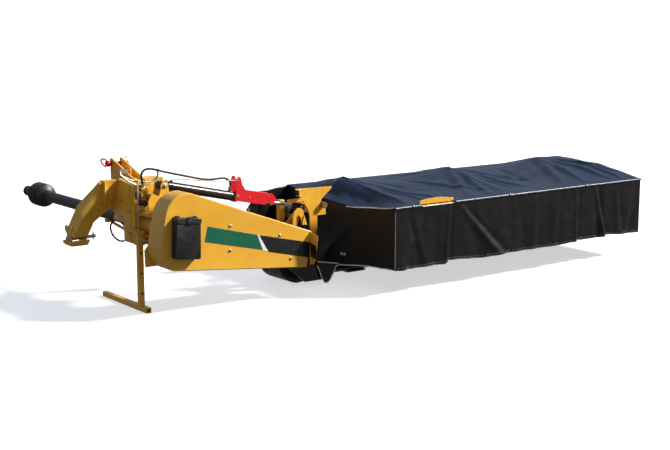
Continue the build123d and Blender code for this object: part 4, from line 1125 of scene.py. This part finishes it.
def make_carrier_details():
    """Arm, plates, ribs and knobs that fill the carrier behind the fork, and the lever's stub."""
    y = 700
    plate_piece(
        "carrier_plates", ENAMELLED, "cutterbar",
        (upright(y, [(-496, 706), (-352, 711), (-340, 694), (-360, 682), (-484, 678), (-500, 690)]), REARWARD, 12),
        (upright(y, [(-446, 569), (-436, 610), (-410, 634), (-372, 630), (-350, 604), (-342, 520), (-366, 510),
                     (-376, 560), (-400, 580), (-418, 560), (-424, 500), (-452, 500)]), REARWARD, 9),
        (upright(y - 11, [(-371, 502), (-349, 572), (-323, 497)]), REARWARD, 7))
    posts = Forge()
    posts.slab((-470, 802, 340), (-430, 850, 512), 3)
    posts.slab((-400, 802, 330), (-330, 850, 505), 3)
    posts.slab((-496, 802, 470), (-450, 850, 690), 3)
    # The ribs take the yellow with a brown painted shade low down
    posts.finish("carrier_ribs", ("yellow_paint", YELLOW_WITH_PAINTED_SHADE), "cutterbar")
    # The lever's stub: a dark plate painted as the shade in its open side, and its plugged end
    plate_piece("stub_shade_plate", ("black_paint", RUBBER), "cutterbar",
                ([(STUB_X, STUB_Y + 6, 736), (STUB_X, STUB_Y + 50, 736), (STUB_X, STUB_Y + 50, 775),
                  (STUB_X, STUB_Y + 6, 775)], LEFTWARD, 0.6))
    plug = Forge()
    plug.slab((-421, STUB_Y + 1, 735), (-371, STUB_Y + 4, 775), 0.8)
    plug.finish("stub_plug", ENAMELLED, "cutterbar")
    knobs = Forge()
    for x, z, size in ((-498, 636, 24), (-496, 586, 19)):
        knobs.turned((x, 716, z), REARWARD,
                     [(0, size * 0.7), (6, size), (30, size), (38, size * 0.82), (44, size * 0.5)], 24)
    knobs.finish("carrier_knobs", BLACKED, "cutterbar")
    # The tube end in dark brown: a painted shade
    tube = Forge()
    tube.turned((-176, 699, 640), REARWARD, [(0, 24), (50, 24), (54, 22)], 28)
    tube.finish("carrier_tube", ("bare_steel", PAINTED_TUBE_SHADE), "cutterbar")


def make_flap():
    """The curtain's flap with pale piping on its edges."""
    flap = grid_piece("curtain_flap", flap_place, 60, 24, CLOTH_SIDE)
    pale = Forge()
    pale.pipe(edge_line(flap_place, 0, 60, (0, -3, 0)), 4, 8)
    pale.pipe(edge_line(flap_place, 1, 40, (0, -3, 0)), 4, 8)
    edge = pale.finish("flap_piping", PALE, "cutterbar", smooth=True)


make_carrier_details()
make_flap()


# ---- stage ----

# Radius and height of the floor and the backdrop that it runs up into, in metres
BACKDROP = [(16, 0), (22, 0.25), (27, 1.2), (30, 3.2), (31.5, 7), (32, 14)]
FLOOR_SIDES = 96
FLOOR_DROP = 0.0006  # keeps the floor just under what stands on it
FLOOR_GLOW = 0.6


def make_floor():
    """Plain pale floor that runs up into a round backdrop."""
    points = [Vector((0, 0, -FLOOR_DROP))]
    faces = [[0, 1 + k, 1 + (k + 1) % FLOOR_SIDES] for k in range(FLOOR_SIDES)]
    for radius, height in BACKDROP:
        points += [Vector((radius * math.cos(t), radius * math.sin(t), height - FLOOR_DROP))
                   for t in turn(FLOOR_SIDES)]
    for ring in range(len(BACKDROP) - 1):
        a, b = 1 + ring * FLOOR_SIDES, 1 + (ring + 1) * FLOOR_SIDES
        faces += [[a + k, b + k, b + (k + 1) % FLOOR_SIDES, a + (k + 1) % FLOOR_SIDES] for k in range(FLOOR_SIDES)]
    data = bpy.data.meshes.new("floor")
    data.from_pydata(points, [], faces)
    data.shade_smooth()
    floor = new_object("floor", data)
    n = Nodes("floor")
    colour = n.mix(n.grey(n.noise(1.5), 0.3, 0.7, 0, 1), (0.62, 0.62, 0.62), (0.65, 0.65, 0.65))
    n.put(n.shader.inputs["Emission Color"], (1, 1, 1, 1))
    n.put(n.shader.inputs["Emission Strength"], FLOOR_GLOW)
    data.materials.append(n.finish(colour, rough=0.9))
    floor.visible_shadow = False
    floor.visible_diffuse = False
    floor.visible_glossy = False


# Colours round about, from straight below (0) to straight overhead (1)
SKY = [(0, (0.34, 0.31, 0.27, 1)), (0.48, (0.42, 0.41, 0.39, 1)), (0.52, (0.8, 0.84, 0.9, 1)),
       (1, (0.42, 0.6, 0.95, 1))]
SKY_STRENGTH = 0.4
SUN_STRENGTH, SUN_DEGREES = 6.4, 8
SUN_TINT = (1, 0.955, 0.87)
SUN_SIDE = Vector((0.68, -0.43, 0.59))


def make_lights():
    """Pale surroundings, bluer overhead, and one sun from the right rear, as in the photograph."""
    world = bpy.data.worlds.new("studio")
    n = Nodes("studio", world)
    height = n.add("SeparateXYZ", {0: n.place}).outputs["Z"]
    share = n.add("MapRange", {"Value": height, "From Min": -1}).outputs["Result"]
    band = n.add("ValToRGB", {"Fac": share})
    ramp = band.color_ramp
    while len(ramp.elements) < len(SKY):
        ramp.elements.new(0.5)
    for element, (where, colour) in zip(ramp.elements, SKY):
        element.position = where
        element.color = colour
    n.put(n.shader.inputs["Color"], band.outputs["Color"])
    n.put(n.shader.inputs["Strength"], SKY_STRENGTH)
    bpy.context.scene.world = world
    sun = bpy.data.lights.new("sun", "SUN")
    sun.energy = SUN_STRENGTH
    sun.angle = math.radians(SUN_DEGREES)
    sun.color = SUN_TINT
    lamp = new_object("sun", sun)
    lamp.rotation_euler = SUN_SIDE.to_track_quat("Z", "Y").to_euler()
    lamp.location = SUN_SIDE * 10


make_floor()
make_lights()
bpy.context.scene.view_settings.view_transform = "Standard"
